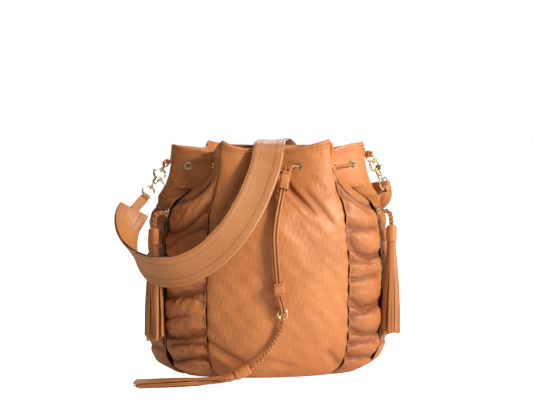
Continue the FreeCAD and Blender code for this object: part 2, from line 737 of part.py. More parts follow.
# The strap's middle line from the right end to the left, each with the way its outer face looks.
STRAP_PATH = [
    (Vec(158.0, 34.0, 230.0), None),
    (Vec(152.0, 60.0, 219.0), Vec(0.9, 0.35, 0.2)),
    (Vec(136.0, 88.0, 214.0), Vec(0.75, 0.65, 0.1)),
    (Vec(110.0, 110.0, 219.0), Vec(0.4, 0.9, 0.0)),
    (Vec(82.0, 116.0, 236.0), Vec(0.1, 1.0, 0.1)),
    (Vec(56.0, 110.0, 259.0), Vec(0.0, 0.95, 0.3)),
    (Vec(36.0, 94.0, 281.0), Vec(0.0, 0.75, 0.65)),
    (Vec(20.0, 68.0, 296.5), Vec(0.0, 0.3, 0.95)),
    (Vec(8.0, 30.0, 297.5), Vec(0.0, 0.0, 1.0)),
    (Vec(0.0, -12.0, 297.0), Vec(0.0, -0.05, 1.0)),
    (Vec(-6.0, -50.0, 297.5), Vec(0.0, -0.15, 1.0)),
    (Vec(-10.5, -71.5, 290.5), Vec(0.0, -0.75, 0.65)),
    (Vec(-16.0, -82.0, 271.0), Vec(0.0, -0.97, 0.2)),
    (Vec(-26.0, -92.0, 247.0), Vec(0.0, -1.0, 0.2)),
    (Vec(-41.0, -105.0, 219.0), Vec(0.0, -1.0, 0.25)),
    (Vec(-64.0, -115.0, 187.0), Vec(0.0, -1.0, 0.15)),
    (Vec(-94.0, -120.0, 160.0), Vec(0.0, -1.0, 0.0)),
    (Vec(-127.0, -119.0, 145.0), Vec(-0.12, -0.98, -0.12)),
    (Vec(-155.0, -110.0, 144.0), Vec(-0.35, -0.85, -0.35)),
    (Vec(-175.0, -94.0, 154.0), Vec(-0.62, -0.48, -0.62)),
    (Vec(-186.0, -75.0, 171.0), Vec(-0.70, 0.0, -0.70)),
    (Vec(-188.0, -56.0, 193.0), Vec(-0.66, 0.35, -0.62)),
    (Vec(-178.0, -41.0, 214.0), None),
]
RIGHT_CUT, LEFT_CUT = 4, 19


def strap_frames():
    """Each station's middle, its way along, its way across and its outer face."""
    stations = []
    _, right_way, right_across, right_third = chain("right")
    _, left_way, left_across, left_third = chain("left")
    for k, (middle, face) in enumerate(STRAP_PATH):
        before = STRAP_PATH[max(k - 1, 0)][0]
        after = STRAP_PATH[min(k + 1, len(STRAP_PATH) - 1)][0]
        along = (after - before).normalize()
        if k == 0:
            wide = Vec(right_across)
            if wide.dot(Vec(0, 0, 1)) > 0:
                wide = wide * -1
        elif face is None:
            wide = Vec(left_across)
        else:
            wide = face.cross(along)
        wide = (wide - along * wide.dot(along)).normalize()
        stations.append((middle, along, wide, along.cross(wide).normalize()))
    return stations


def strap_piece(stations):
    half_wide, half_thick = size("strap_width") / 2, size("strap_thick") / 2
    wires = []
    for middle, along, wide, face in stations:
        corners = [
            middle + wide * (half_wide * i) + face * (half_thick * j)
            for i, j in ((-1, -1), (1, -1), (1, 1), (-1, 1))
        ]
        wires.append(Part.makePolygon(corners + corners[:1]))
    return Part.makeLoft(wires, True, False)


def make_strap():
    stations = strap_frames()
    pieces = {
        "strap_right_end": stations[: RIGHT_CUT + 1],
        "strap": stations[RIGHT_CUT : LEFT_CUT + 1],
        "strap_left_end": stations[LEFT_CUT:],
    }
    long = 0.0
    for label, part in pieces.items():
        made = strap_piece(part)
        run = sum((b[0] - a[0]).Length for a, b in zip(part, part[1:]))
        long += run
        print(label, "volume over section", made.Volume / size("strap_width") / size("strap_thick"), run)
        pieces[label] = made
    print("strap length", long)
    for side, label in (("right", "strap_right_end"), ("left", "strap_left_end")):
        start, way, across, third = chain(side)
        end = start + way * CHAIN_LONG
        inner = O_W + 1.35
        loop = barrel_loop(end, across, 9.0, inner, inner + 1.5)
        far = stations[0] if side == "right" else stations[-1]
        reach = far[0] - end
        tongue_way = Vec(reach).normalize()
        wide = (across - tongue_way * across.dot(tongue_way)).normalize()
        frame = axes_placement(end + tongue_way * (inner + 0.2), tongue_way, wide)
        tongue = Part.makeBox(12.0, 2.6, reach.Length - inner - 0.2, Vec(-6.0, -1.3, 0))
        tongue.Placement = frame.multiply(tongue.Placement)
        pieces[label] = pieces[label].fuse([loop, tongue])
    for label, shape in pieces.items():
        keep_shape(label, shape)


# ---------------------------------------------------------------- build and write

make_panels()
make_inside()
make_eyelets()
make_drawstring()
make_string_ends()
print("cinch way", CINCH_WAY)
WALL = LEATHER
leather_tube("cinch", CINCH_TOP + CINCH_WAY * 8.0, CINCH_WAY, "Sizes.cinch_long", WALL)
keeper_way = Vec(2.2, 0.0, -27.0).normalize()
leather_tube("keeper", KEEPER_TOP, keeper_way, "Sizes.keeper_long", size("keeper_wall"))
make_front_tassel()
make_zips()
make_fittings()
make_strap()

doc.recompute()
for obj in doc.Objects:
    if {"Invalid", "Error"} & set(obj.State):
        raise RuntimeError(f"{obj.Name} failed: {obj.State}")
os.makedirs("parts", exist_ok=True)
for label, obj in nodes.items():
    shape = obj.Shape
    if shape.isNull() or not shape.isValid():
        raise RuntimeError(f"{label} has no valid shape")
    print(label, [round(s.Volume, 1) for s in shape.Solids][:3], len(shape.Solids))
    shape.exportStep(f"parts/{label}.step")
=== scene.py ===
# A ruched leather bucket bag with its strap, drawstring and tassels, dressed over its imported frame.
import bpy
import math
import numpy as np
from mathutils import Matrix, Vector


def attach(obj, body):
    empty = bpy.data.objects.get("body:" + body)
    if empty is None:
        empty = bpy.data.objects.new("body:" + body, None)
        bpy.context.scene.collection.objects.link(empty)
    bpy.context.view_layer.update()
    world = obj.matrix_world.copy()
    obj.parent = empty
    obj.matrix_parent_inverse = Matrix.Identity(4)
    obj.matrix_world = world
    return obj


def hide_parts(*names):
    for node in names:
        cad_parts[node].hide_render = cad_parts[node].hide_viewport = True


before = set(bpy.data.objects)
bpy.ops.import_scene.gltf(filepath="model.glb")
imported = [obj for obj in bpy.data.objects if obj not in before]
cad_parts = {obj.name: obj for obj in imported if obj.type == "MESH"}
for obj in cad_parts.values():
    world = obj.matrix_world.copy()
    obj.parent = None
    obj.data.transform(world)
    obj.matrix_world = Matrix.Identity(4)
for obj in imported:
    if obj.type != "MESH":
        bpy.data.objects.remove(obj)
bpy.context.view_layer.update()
bpy.ops.object.select_all(action="DESELECT")

# camera, light and floor

shot = {"azimuth": -8.0, "elevation": 4.0, "distance": 1.8, "aim": (-0.0026, 0.0, 0.2215), "across": 0.700}


def placeCamera():
    azimuth, elevation = math.radians(shot["azimuth"]), math.radians(shot["elevation"])
    aim = Vector(shot["aim"])
    way = Vector((math.sin(azimuth) * math.cos(elevation), -math.cos(azimuth) * math.cos(elevation),
                  math.sin(elevation)))
    data = bpy.data.cameras.new("camera")
    camera = bpy.data.objects.new("camera", data)
    bpy.context.scene.collection.objects.link(camera)
    camera.location = aim + way * shot["distance"]
    camera.rotation_euler = (-way).to_track_quat("-Z", "Y").to_euler()
    data.sensor_width = 36.0
    data.lens = 18.0 / (shot["across"] / 2 / shot["distance"])
    data.clip_start = 0.05
    bpy.context.scene.camera = camera


def areaLight(name, place, aim, size, power, colour=(1, 1, 1)):
    data = bpy.data.lights.new(name, "AREA")
    data.shape = "RECTANGLE"
    data.size, data.size_y = size
    data.energy = power
    data.color = colour
    light = bpy.data.objects.new(name, data)
    bpy.context.scene.collection.objects.link(light)
    light.location = place
    light.rotation_euler = (Vector(aim) - Vector(place)).to_track_quat("-Z", "Y").to_euler()


placeCamera()
areaLight("keyLight", (1.25, -1.15, 0.85), (0.0, 0.0, 0.13), (0.5, 0.5), 36.0, (1.0, 0.97, 0.93))
areaLight("topLight", (0.35, -0.1, 1.5), (0.0, 0.0, 0.1), (1.0, 0.8), 8.0)
areaLight("backLight", (0.3, 1.5, 0.9), (0.0, 0.0, 0.2), (1.2, 0.8), 9.0)
world = bpy.data.worlds.new("studio")
world.use_nodes = True
worldTree = world.node_tree
backdrop = worldTree.nodes["Background"]
backdrop.inputs["Color"].default_value = (1.0, 1.0, 1.0, 1.0)
rays = worldTree.nodes.new("ShaderNodeLightPath")
power = worldTree.nodes.new("ShaderNodeMapRange")
power.inputs["To Min"].default_value = 0.13
power.inputs["To Max"].default_value = 1.0
worldTree.links.new(rays.outputs["Is Camera Ray"], power.inputs["Value"])
worldTree.links.new(power.outputs["Result"], backdrop.inputs["Strength"])
bpy.context.scene.world = world
bpy.context.scene.view_settings.view_transform = "Standard"


def layFloor():
    bpy.ops.mesh.primitive_grid_add(x_subdivisions=8, y_subdivisions=8, size=14.0, location=(0, 0, -0.0002))
    floor = bpy.context.active_object
    floor.name = floor.data.name = "floor"
    material = bpy.data.materials.new("paleFloor")
    material.use_nodes = True
    shader = material.node_tree.nodes["Principled BSDF"]
    shader.inputs["Base Color"].default_value = (0.96, 0.96, 0.955, 1.0)
    shader.inputs["Roughness"].default_value = 0.9
    shader.inputs["Emission Color"].default_value = (1.0, 1.0, 1.0, 1.0)
    path = material.node_tree.nodes.new("ShaderNodeLightPath")
    glow = rangeNode(material.node_tree, path.outputs["Is Camera Ray"], 0.0, 1.0, 0.12, 0.93)
    material.node_tree.links.new(glow, shader.inputs["Emission Strength"])
    floor.data.materials.append(material)


# finishes


def newMaterial(name):
    material = bpy.data.materials.new(name)
    material.use_nodes = True
    tree = material.node_tree
    shader = tree.nodes["Principled BSDF"]
    coords = tree.nodes.new("ShaderNodeTexCoord")
    return material, tree, shader, coords.outputs["Object"]


def noiseNode(tree, where, scale, detail=4.0, rough=0.55):
    node = tree.nodes.new("ShaderNodeTexNoise")
    node.inputs["Scale"].default_value = scale
    node.inputs["Detail"].default_value = detail
    node.inputs["Roughness"].default_value = rough
    tree.links.new(where, node.inputs["Vector"])
    return node.outputs["Fac"]


def rangeNode(tree, value, low, high, toLow, toHigh):
    node = tree.nodes.new("ShaderNodeMapRange")
    for key, number in (("From Min", low), ("From Max", high), ("To Min", toLow), ("To Max", toHigh)):
        node.inputs[key].default_value = number
    tree.links.new(value, node.inputs["Value"])
    return node.outputs["Result"]


def blendColour(tree, factor, first, second):
    node = tree.nodes.new("ShaderNodeMix")
    node.data_type = "RGBA"
    tree.links.new(factor, node.inputs["Factor"])
    for key, colour in (("A", first), ("B", second)):
        socket = [i for i in node.inputs if i.name == key and i.type == "RGBA"][0]
        if isinstance(colour, tuple):
            socket.default_value = (*colour, 1.0)
        else:
            tree.links.new(colour, socket)
    return [o for o in node.outputs if o.type == "RGBA"][0]


def bumpNode(tree, height, strength, distance, below=None):
    node = tree.nodes.new("ShaderNodeBump")
    node.inputs["Strength"].default_value = strength
    node.inputs["Distance"].default_value = distance
    tree.links.new(height, node.inputs["Height"])
    if below is not None:
        tree.links.new(below, node.inputs["Normal"])
    return node.outputs["Normal"]


def varyShine(tree, shader, cloud, low, high):
    tree.links.new(rangeNode(tree, cloud, 0.3, 0.7, low, high), shader.inputs["Roughness"])


# Tanned hide: cloudy colour, a fine pebble, soft creasing and painted shade darkening its folds.
def pebbledLeather(name, light, mid, dark, pebble=620.0, relief=0.00028, shine=(0.44, 0.60)):
    material, tree, shader, where = newMaterial(name)
    cloud = rangeNode(tree, noiseNode(tree, where, 14.0, 5.0), 0.35, 0.68, 0.0, 1.0)
    colour = blendColour(tree, cloud, light, mid)
    speck = rangeNode(tree, noiseNode(tree, where, 420.0, 3.0), 0.52, 0.74, 0.0, 0.14)
    colour = blendColour(tree, speck, colour, dark)
    # painted shade: each point's stored shade amount darkens the colour in creases, seams and along the hem
    folds = tree.nodes.new("ShaderNodeAttribute")
    folds.attribute_name = "paintedShade"
    depth = rangeNode(tree, folds.outputs["Fac"], 0.0, 1.0, 0.0, 0.70)
    colour = blendColour(tree, depth, colour, dark)
    tree.links.new(colour, shader.inputs["Base Color"])
    varyShine(tree, shader, noiseNode(tree, where, 55.0, 4.0), *shine)
    cells = tree.nodes.new("ShaderNodeTexVoronoi")
    cells.feature = "SMOOTH_F1"
    cells.inputs["Scale"].default_value = pebble
    cells.inputs["Smoothness"].default_value = 0.6
    tree.links.new(where, cells.inputs["Vector"])
    creases = bumpNode(tree, noiseNode(tree, where, 70.0, 5.0, 0.6), 0.35, 0.0011)
    grain = bumpNode(tree, cells.outputs["Distance"], 0.55, relief, creases)
    fine = bumpNode(tree, noiseNode(tree, where, 1500.0, 2.0), 0.25, 0.00012, grain)
    tree.links.new(fine, shader.inputs["Normal"])
    shader.inputs["Coat Weight"].default_value = 0.02
    shader.inputs["Coat Roughness"].default_value = 0.35
    return material


def goldMetal(name, colour, shine):
    material, tree, shader, where = newMaterial(name)
    shader.inputs["Metallic"].default_value = 1.0
    tint = rangeNode(tree, noiseNode(tree, where, 90.0, 3.0), 0.3, 0.7, 0.0, 1.0)
    worn = tuple(0.86 * c for c in colour)
    tree.links.new(blendColour(tree, tint, colour, worn), shader.inputs["Base Color"])
    varyShine(tree, shader, noiseNode(tree, where, 240.0, 4.0), *shine)
    tree.links.new(bumpNode(tree, noiseNode(tree, where, 900.0, 2.0), 0.06, 0.0001), shader.inputs["Normal"])
    return material


def wovenCloth(name, light, dark, pitch):
    material, tree, shader, where = newMaterial(name)
    heights = []
    for turn in (0.0, math.pi / 2):
        mapping = tree.nodes.new("ShaderNodeMapping")
        mapping.inputs["Rotation"].default_value = (0.0, turn, 0.3)
        tree.links.new(where, mapping.inputs["Vector"])
        wave = tree.nodes.new("ShaderNodeTexWave")
        wave.inputs["Scale"].default_value = 1.0 / pitch / 6.0
        wave.inputs["Distortion"].default_value = 0.6
        tree.links.new(mapping.outputs["Vector"], wave.inputs["Vector"])
        heights.append(wave.outputs["Fac"])
    both = tree.nodes.new("ShaderNodeMath")
    both.operation = "MULTIPLY"
    tree.links.new(heights[0], both.inputs[0])
    tree.links.new(heights[1], both.inputs[1])
    tree.links.new(blendColour(tree, both.outputs[0], dark, light), shader.inputs["Base Color"])
    tree.links.new(bumpNode(tree, both.outputs[0], 0.5, 0.0002), shader.inputs["Normal"])
    varyShine(tree, shader, noiseNode(tree, where, 60.0), 0.7, 0.9)
    return material


def painted(name, light, dark, scale, shine):
    material, tree, shader, where = newMaterial(name)
    tree.links.new(blendColour(tree, noiseNode(tree, where, scale, 4.0), light, dark), shader.inputs["Base Color"])
    varyShine(tree, shader, noiseNode(tree, where, scale * 0.7), *shine)
    tree.links.new(bumpNode(tree, noiseNode(tree, where, scale * 4.0), 0.3, 0.0002), shader.inputs["Normal"])
    return material


tan = {"light": (0.60, 0.215, 0.058), "mid": (0.50, 0.160, 0.038), "dark": (0.17, 0.040, 0.008)}
finish = {
    "body": pebbledLeather("bodyLeather", tan["light"], tan["mid"], tan["dark"]),
    "ruched": pebbledLeather("ruchedLeather", (0.57, 0.20, 0.053), (0.46, 0.143, 0.033), tan["dark"], 560.0, 0.00034),
    "strap": pebbledLeather("strapLeather", (0.50, 0.195, 0.057), (0.41, 0.143, 0.036), tan["dark"], 700.0, 0.0002,
                            (0.42, 0.58)),
    "cord": pebbledLeather("cordLeather", (0.50, 0.185, 0.052), (0.38, 0.125, 0.031), tan["dark"], 900.0, 0.00014,
                           (0.40, 0.55)),
    "edge": painted("paintedEdge", (0.10, 0.035, 0.014), (0.055, 0.02, 0.010), 300.0, (0.4, 0.55)),
    "thread": painted("waxedThread", (0.30, 0.12, 0.045), (0.18, 0.065, 0.024), 900.0, (0.5, 0.65)),
    "gold": goldMetal("paleGold", (0.93, 0.76, 0.47), (0.16, 0.28)),
    "teeth": goldMetal("zipTeeth", (0.62, 0.46, 0.24), (0.25, 0.4)),
    "tape": wovenCloth("zipTape", (0.22, 0.10, 0.045), (0.10, 0.045, 0.02), 0.0007),
    "lining": wovenCloth("liningCloth", (0.50, 0.38, 0.25), (0.34, 0.25, 0.16), 0.0006),
    "board": painted("boardFinish", (0.10, 0.09, 0.08), (0.06, 0.055, 0.05), 200.0, (0.7, 0.85)),
}
layFloor()
print("finishes ready")

# the bag's own surface, shared by all its leather

bagShape = {
    "stations": [
        (0.0, 0.125, 0.072, 0.0), (0.0141, 0.1448, 0.087, 0.0), (0.045, 0.15635, 0.09575, 0.0),
        (0.0999, 0.158, 0.097, 0.0), (0.1599, 0.157, 0.097, 0.0), (0.2001, 0.152, 0.093, 0.0),
        (0.222, 0.143, 0.086, 0.02), (0.240, 0.126, 0.075, 0.08), (0.268, 0.111, 0.066, 0.16),
        (0.292, 0.109, 0.066, 0.15),
    ],
    "gathers": 6, "eyeletZ": 0.268, "leather": 0.0016, "frontTurn": 35.0, "zipTurn": 63.5, "zipHalf": 2.2,
    "sideTop": 0.240, "foot": 0.0006, "rim": 0.2918, "facingLow": 0.252,
    # how the rim rises and dips round the mouth: turn, height
    "rimWave": [
        (-180, 0.0), (-160, 0.001), (-142, 0.007), (-115, -0.002), (-90, 0.004), (-62, -0.006),
        (-42, -0.003), (-33, 0.010), (-26, 0.003), (-20, 0.0), (0, -0.002), (14, 0.0), (24, 0.006),
        (33, 0.011), (42, -0.002), (58, -0.005), (76, 0.004), (90, 0.006), (112, -0.002), (126, 0.004),
        (138, 0.0), (180, 0.0),
    ],
}


def tabulate():
    stations = bagShape["stations"]
    heights = np.linspace(0.0, 0.292, 585)
    rows = []
    for z in heights:
        k = 0
        while k < len(stations) - 2 and z > stations[k + 1][0]:
            k += 1
        before, low = stations[max(k - 1, 0)], stations[k]
        high, after = stations[k + 1], stations[min(k + 2, len(stations) - 1)]
        span = high[0] - low[0]
        u = (z - low[0]) / span
        row = []
        for i in (1, 2, 3):
            slopeLow = (high[i] - before[i]) / (high[0] - before[0]) * span
            slopeHigh = (after[i] - low[i]) / (after[0] - low[0]) * span
            row.append((2 * u**3 - 3 * u**2 + 1) * low[i] + (u**3 - 2 * u**2 + u) * slopeLow
                       + (3 * u**2 - 2 * u**3) * high[i] + (u**3 - u**2) * slopeHigh)
        rows.append(row)
    return heights, np.array(rows)


tableZ, tableRows = tabulate()


# Points of the skin. turn is in degrees from the front, positive towards +X.
def skin(turn, z, out=0.0):
    turn, z = np.asarray(turn, float), np.asarray(z, float)
    a, b, gather = (np.interp(z, tableZ, tableRows[:, i]) for i in range(3))
    t = np.radians(turn)
    swell = 1.0 - gather * np.cos(bagShape["gathers"] * t)
    return np.stack([(a * swell + out) * np.sin(t), -(b * swell + out) * np.cos(t), z + 0.0 * t], axis=-1)


def rise(low, high, value):
    s = np.clip((value - low) / (high - low), 0.0, 1.0)
    return s * s * (3 - 2 * s)


def rimLift(turn, z):
    wrapped = (np.asarray(turn) + 180.0) % 360.0 - 180.0
    turns, lifts = zip(*bagShape["rimWave"])
    return np.interp(wrapped, turns, lifts) * rise(0.271, 0.292, z)


def eyeletSpot(turn):
    place = skin(turn, bagShape["eyeletZ"])
    along = skin(turn + 1.0, bagShape["eyeletZ"]) - skin(turn - 1.0, bagShape["eyeletZ"])
    along /= np.linalg.norm(along)
    outward = np.cross(along, (0, 0, 1.0))
    return place, outward / np.linalg.norm(outward), along


eyeletTurns = [15.0 + 30.0 * k for k in range(12)]


def holdOnly(piece):
    bpy.ops.object.select_all(action="DESELECT")
    piece.select_set(True)
    bpy.context.view_layer.objects.active = piece


def finishPiece(piece, material, body, stands=(), smooth=True):
    bpy.ops.object.select_all(action="DESELECT")
    for each in ([material] if not isinstance(material, list) else material):
        piece.data.materials.append(each)
    if smooth and piece.type == "MESH":
        piece.data.shade_smooth()
    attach(piece, body)
    if stands:
        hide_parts(*stands)
    return piece


def applyModifiers(piece):
    holdOnly(piece)
    for modifier in list(piece.modifiers):
        bpy.ops.object.modifier_apply(modifier=modifier.name)
    piece.select_set(False)


# A flat unit grid, whose points are then laid where they belong.
def gridPiece(name, columns, rows):
    bpy.ops.object.select_all(action="DESELECT")
    bpy.ops.mesh.primitive_grid_add(x_subdivisions=columns, y_subdivisions=rows, size=1.0, calc_uvs=True)
    piece = bpy.context.active_object
    piece.name = piece.data.name = name
    flat = np.empty(len(piece.data.vertices) * 3)
    piece.data.vertices.foreach_get("co", flat)
    flat = flat.reshape(-1, 3)
    return piece, flat[:, 0] + 0.5, flat[:, 1] + 0.5


def layPoints(piece, points, paintedShade=None):
    piece.data.vertices.foreach_set("co", np.ascontiguousarray(points).ravel())
    # the painted shade of creases and seams is kept on each point for the leather finish to darken
    if paintedShade is not None:
        attribute = piece.data.attributes.new("paintedShade", "FLOAT", "POINT")
        attribute.data.foreach_set("value", np.ascontiguousarray(np.clip(paintedShade, 0, 1), dtype=np.float32))
    piece.data.update()


# Opens the leather where an eyelet goes through.
def punchEyelets(piece, radius):
    centres = np.empty(len(piece.data.polygons) * 3)
    piece.data.polygons.foreach_get("center", centres)
    centres = centres.reshape(-1, 3)
    hit = np.zeros(len(centres), bool)
    for turn in eyeletTurns:
        place, outward, _ = eyeletSpot(turn)
        offset = centres - place
        depth = offset @ outward
        aside = np.linalg.norm(offset - depth[:, None] * outward, axis=1)
        hit |= (aside < radius) & (np.abs(depth) < 0.012)
    if not hit.any():
        return
    holdOnly(piece)
    piece.data.polygons.foreach_set("select", hit)
    bpy.ops.object.mode_set(mode="EDIT")
    bpy.ops.mesh.select_mode(type="FACE")
    bpy.ops.object.mode_set(mode="OBJECT")
    piece.data.polygons.foreach_set("select", hit)
    bpy.ops.object.mode_set(mode="EDIT")
    bpy.ops.mesh.delete(type="FACE")
    bpy.ops.object.mode_set(mode="OBJECT")


# One piece of leather on the bag. shape gives its outward push, its lift and the painted shade of its creases and
# seams.
def shellPanel(name, turns, heights, grid, shape, material, stands, thick=None, holes=False):
    piece, u, v = gridPiece(name, *grid)
    turn = turns[0] + (turns[1] - turns[0]) * u
    z = heights[0] + (heights[1] - heights[0]) * v
    out, lift, paintedShade = shape(turn, z, u, v)
    points = skin(turn, z + lift, out)
    points[:, 2] += rimLift(turn, z + lift)
    layPoints(piece, points, paintedShade)
    if holes:
        punchEyelets(piece, 0.0040)
    wall = piece.modifiers.new("wall", "SOLIDIFY")
    wall.thickness = thick or bagShape["leather"]
    wall.offset = -1.0
    applyModifiers(piece)
    return finishPiece(piece, material, "bag", stands)


# Sharp valleys and their soft banks. Each crease: start z, end z, bow, depth, width, from, to.
def creaseField(along, z, creases):
    total = np.zeros_like(z)
    for startZ, endZ, bow, depth, width, low, high in creases:
        line = startZ + (endZ - startZ) * along + bow * 4 * along * (1 - along)
        away = (z - line) / width
        skew = np.where(away > 0, away, away * 1.9)
        fade = rise(low - 0.12, low + 0.08, along) * (1 - rise(high - 0.08, high + 0.14, along))
        total += depth * np.exp(-np.abs(skew) ** 1.15) * fade
    return total


# A gentle, repeatable unevenness between about -1 and 1.
def wander(a, b, seed):
    rng = np.random.default_rng(seed)
    total = np.zeros_like(a)
    for k in range(7):
        fa = rng.uniform(-1, 1) * 2.2**(k / 2.2)
        fb = rng.uniform(-1, 1) * 2.2**(k / 2.2)
        phase = rng.uniform(0, 6.28)
        total += np.sin(fa * a * 6.28 + fb * b * 6.28 + phase) / (1.35**k)
    return total / 2.6


# Fine uneven gathers along a seam, about one in 8 mm.
def pleats(z, seed):
    rng = np.random.default_rng(seed)
    warp = 0.9 * np.sin(z / 0.031 + rng.uniform(0, 6)) + 0.6 * np.sin(z / 0.0127 + rng.uniform(0, 6))
    return np.abs(np.sin(z / 0.0052 + warp))


# the turned hem that runs round the rim, thicker below its stitches and thinned at its fold
def hemAt(z):
    return 0.0007 * rise(0.2845, 0.2855, z) - 0.0012 * rise(0.2905, 0.292, z)


def hemShade(z):
    return 0.35 * np.exp(-((z - 0.2845) / 0.0006) ** 2)


# how flat the leather lies round the eyelets
def calmAt(z):
    return 1 - 0.75 * rise(0.256, 0.262, z) * (1 - rise(0.274, 0.280, z))


# front and back panels

panelFolds = {
    # start turn, start z, end turn, end z, depth, width
    "front": [
        (0.5, 0.272, 17.0, 0.212, 0.0065, 0.0052), (-1.0, 0.262, -15.0, 0.222, 0.0036, 0.0060),
        (17.0, 0.235, 27.0, 0.196, 0.0028, 0.0065), (-20.0, 0.255, -29.0, 0.205, 0.0030, 0.0060),
        (24.0, 0.036, 35.0, 0.012, 0.0035, 0.0060), (-35.0, 0.052, -16.0, 0.022, 0.0024, 0.0070),
        (-8.0, 0.030, 12.0, 0.014, 0.0016, 0.0060), (8.0, 0.205, 20.0, 0.150, 0.0014, 0.0120),
    ],
    "back": [
        (2.0, 0.266, -14.0, 0.215, 0.0050, 0.0055), (0.0, 0.262, 16.0, 0.225, 0.0036, 0.0060),
        (22.0, 0.248, 30.0, 0.200, 0.0030, 0.0065), (-22.0, 0.250, -30.0, 0.200, 0.0026, 0.0060),
        (-35.0, 0.050, -18.0, 0.020, 0.0028, 0.0070), (20.0, 0.030, 35.0, 0.040, 0.0024, 0.0060),
    ],
}


# Valleys that run between two chosen points of a panel.
def lineFolds(turn, z, folds, centre=0.0):
    total = np.zeros_like(z)
    x = np.radians(turn - centre) * 0.12
    for turnA, zA, turnB, zB, depth, width in folds:
        ax, bx = math.radians(turnA) * 0.12, math.radians(turnB) * 0.12
        dx, dz = bx - ax, zB - zA
        long = math.hypot(dx, dz)
        s = ((x - ax) * dx + (z - zA) * dz) / long**2
        away = ((x - ax) * dz - (z - zA) * dx) / long / width
        skew = np.where(away > 0, away, away * 2.0)
        ends = rise(-0.25, 0.15, s) * (1 - rise(0.7, 1.25, s))
        total += depth * np.exp(-np.abs(skew) ** 1.3) * ends
        total -= 0.35 * depth * np.exp(-((away - 1.7) / 0.8) ** 2) * ends
    return total


def panelShape(folds, centre, seed):
    def shape(turn, z, u, v):
        valley = lineFolds(turn, z, folds, centre)
        near = 35.0 - np.abs(turn - centre)
        edge = 0.0014 - 0.0020 * np.exp(-near / 0.7)
        pull = 0.0009 * pleats(z, seed) * np.exp(-near / 2.6) * (1 - rise(0.235, 0.25, z))
        soft = 0.0011 * wander(u * 2.4, v * 3.0, seed + 1) + 0.0004 * wander(u * 9, v * 11, seed + 2)
        foot = -0.0008 * np.exp(-z / 0.004)
        out = edge + (soft - valley) * calmAt(z) - pull + foot + hemAt(z)
        # the hide sags forward a little over its foot
        out += 0.0022 * np.exp(-((z - 0.060) / 0.035) ** 2) * np.cos(np.radians(turn - centre) * 2.2)
        # painted shade: darker along the valleys, at the seam edges, in the pulled gathers and along the hem
        paintedShade = valley / 0.0045 + 0.5 * np.exp(-near / 0.5) + pull / 0.0016
        paintedShade += hemShade(z)
        return out, 0.0, paintedShade
    return shape


turnF = bagShape["frontTurn"]
panelHeights = (bagShape["foot"], bagShape["rim"])
shellPanel("frontLeather", (-turnF, turnF), panelHeights, (150, 250), panelShape(panelFolds["front"], 0.0, 11),
           finish["body"], ["front_panel"], holes=True)
shellPanel("backLeather", (180 - turnF, 180 + turnF), panelHeights, (150, 250),
           panelShape(panelFolds["back"], 180.0, 23), finish["body"], ["back_panel"], holes=True)
print("front and back panels laid")

# ruched sides

ruching = {
    # start z, end z, bow, depth, width, from, to (0 is the seam and 1 the zip)
    "left_front": [
        (0.236, 0.222, -0.006, 0.0065, 0.0070, 0.0, 1.0),
        (0.206, 0.188, -0.008, 0.0070, 0.0075, 0.0, 1.0),
        (0.184, 0.166, 0.004, 0.0046, 0.0055, 0.0, 0.85),
        (0.158, 0.152, -0.007, 0.0075, 0.0075, 0.0, 1.1),
        (0.137, 0.128, 0.005, 0.0050, 0.0060, 0.0, 0.75),
        (0.116, 0.106, -0.006, 0.0088, 0.0080, 0.0, 1.1),
        (0.097, 0.096, 0.006, 0.0036, 0.0048, 0.0, 0.45),
        (0.080, 0.074, 0.003, 0.0034, 0.0050, 0.35, 1.1),
        (0.062, 0.054, -0.005, 0.0078, 0.0070, 0.0, 1.1),
        (0.044, 0.040, 0.003, 0.0050, 0.0055, 0.0, 0.8),
        (0.028, 0.024, -0.002, 0.0062, 0.0060, 0.0, 1.1),
    ],
    "right_front": [
        (0.229, 0.214, -0.005, 0.0060, 0.0065, 0.0, 1.0),
        (0.212, 0.196, 0.004, 0.0044, 0.0055, 0.0, 0.7),
        (0.178, 0.184, 0.005, 0.0060, 0.0070, 0.0, 0.9),
        (0.166, 0.152, -0.006, 0.0080, 0.0072, 0.0, 1.1),
        (0.146, 0.138, 0.004, 0.0042, 0.0055, 0.0, 0.6),
        (0.124, 0.120, 0.006, 0.0054, 0.0065, 0.0, 0.8),
        (0.096, 0.090, -0.007, 0.0088, 0.0078, 0.0, 1.1),
        (0.078, 0.078, 0.004, 0.0040, 0.0050, 0.0, 0.55),
        (0.062, 0.052, -0.005, 0.0070, 0.0068, 0.0, 1.1),
        (0.042, 0.036, 0.003, 0.0046, 0.0055, 0.0, 0.8),
        (0.027, 0.020, -0.002, 0.0064, 0.0062, 0.0, 1.1),
    ],
}
ruching["left_rear"] = [(a + 0.004, b - 0.003, -c, d, w, l, h) for a, b, c, d, w, l, h in ruching["right_front"]]
ruching["right_rear"] = [(a - 0.003, b + 0.004, -c, d, w, l, h) for a, b, c, d, w, l, h in ruching["left_front"]]
gussetFolds = [(0.232, 0.226, -0.008, 0.0034, 0.0070, -0.2, 1.2), (0.205, 0.212, 0.006, 0.0038, 0.0075, -0.2, 1.2),
               (0.181, 0.176, 0.005, 0.0030, 0.0060, -0.2, 0.7), (0.158, 0.163, -0.006, 0.0042, 0.0080, -0.2, 1.2),
               (0.131, 0.124, -0.004, 0.0036, 0.0070, 0.2, 1.2), (0.104, 0.112, 0.006, 0.0042, 0.0080, -0.2, 1.2),
               (0.083, 0.079, 0.004, 0.0030, 0.0060, -0.2, 0.6), (0.058, 0.064, -0.004, 0.0040, 0.0075, -0.2, 1.2),
               (0.034, 0.030, 0.003, 0.0034, 0.0060, -0.2, 1.2)]


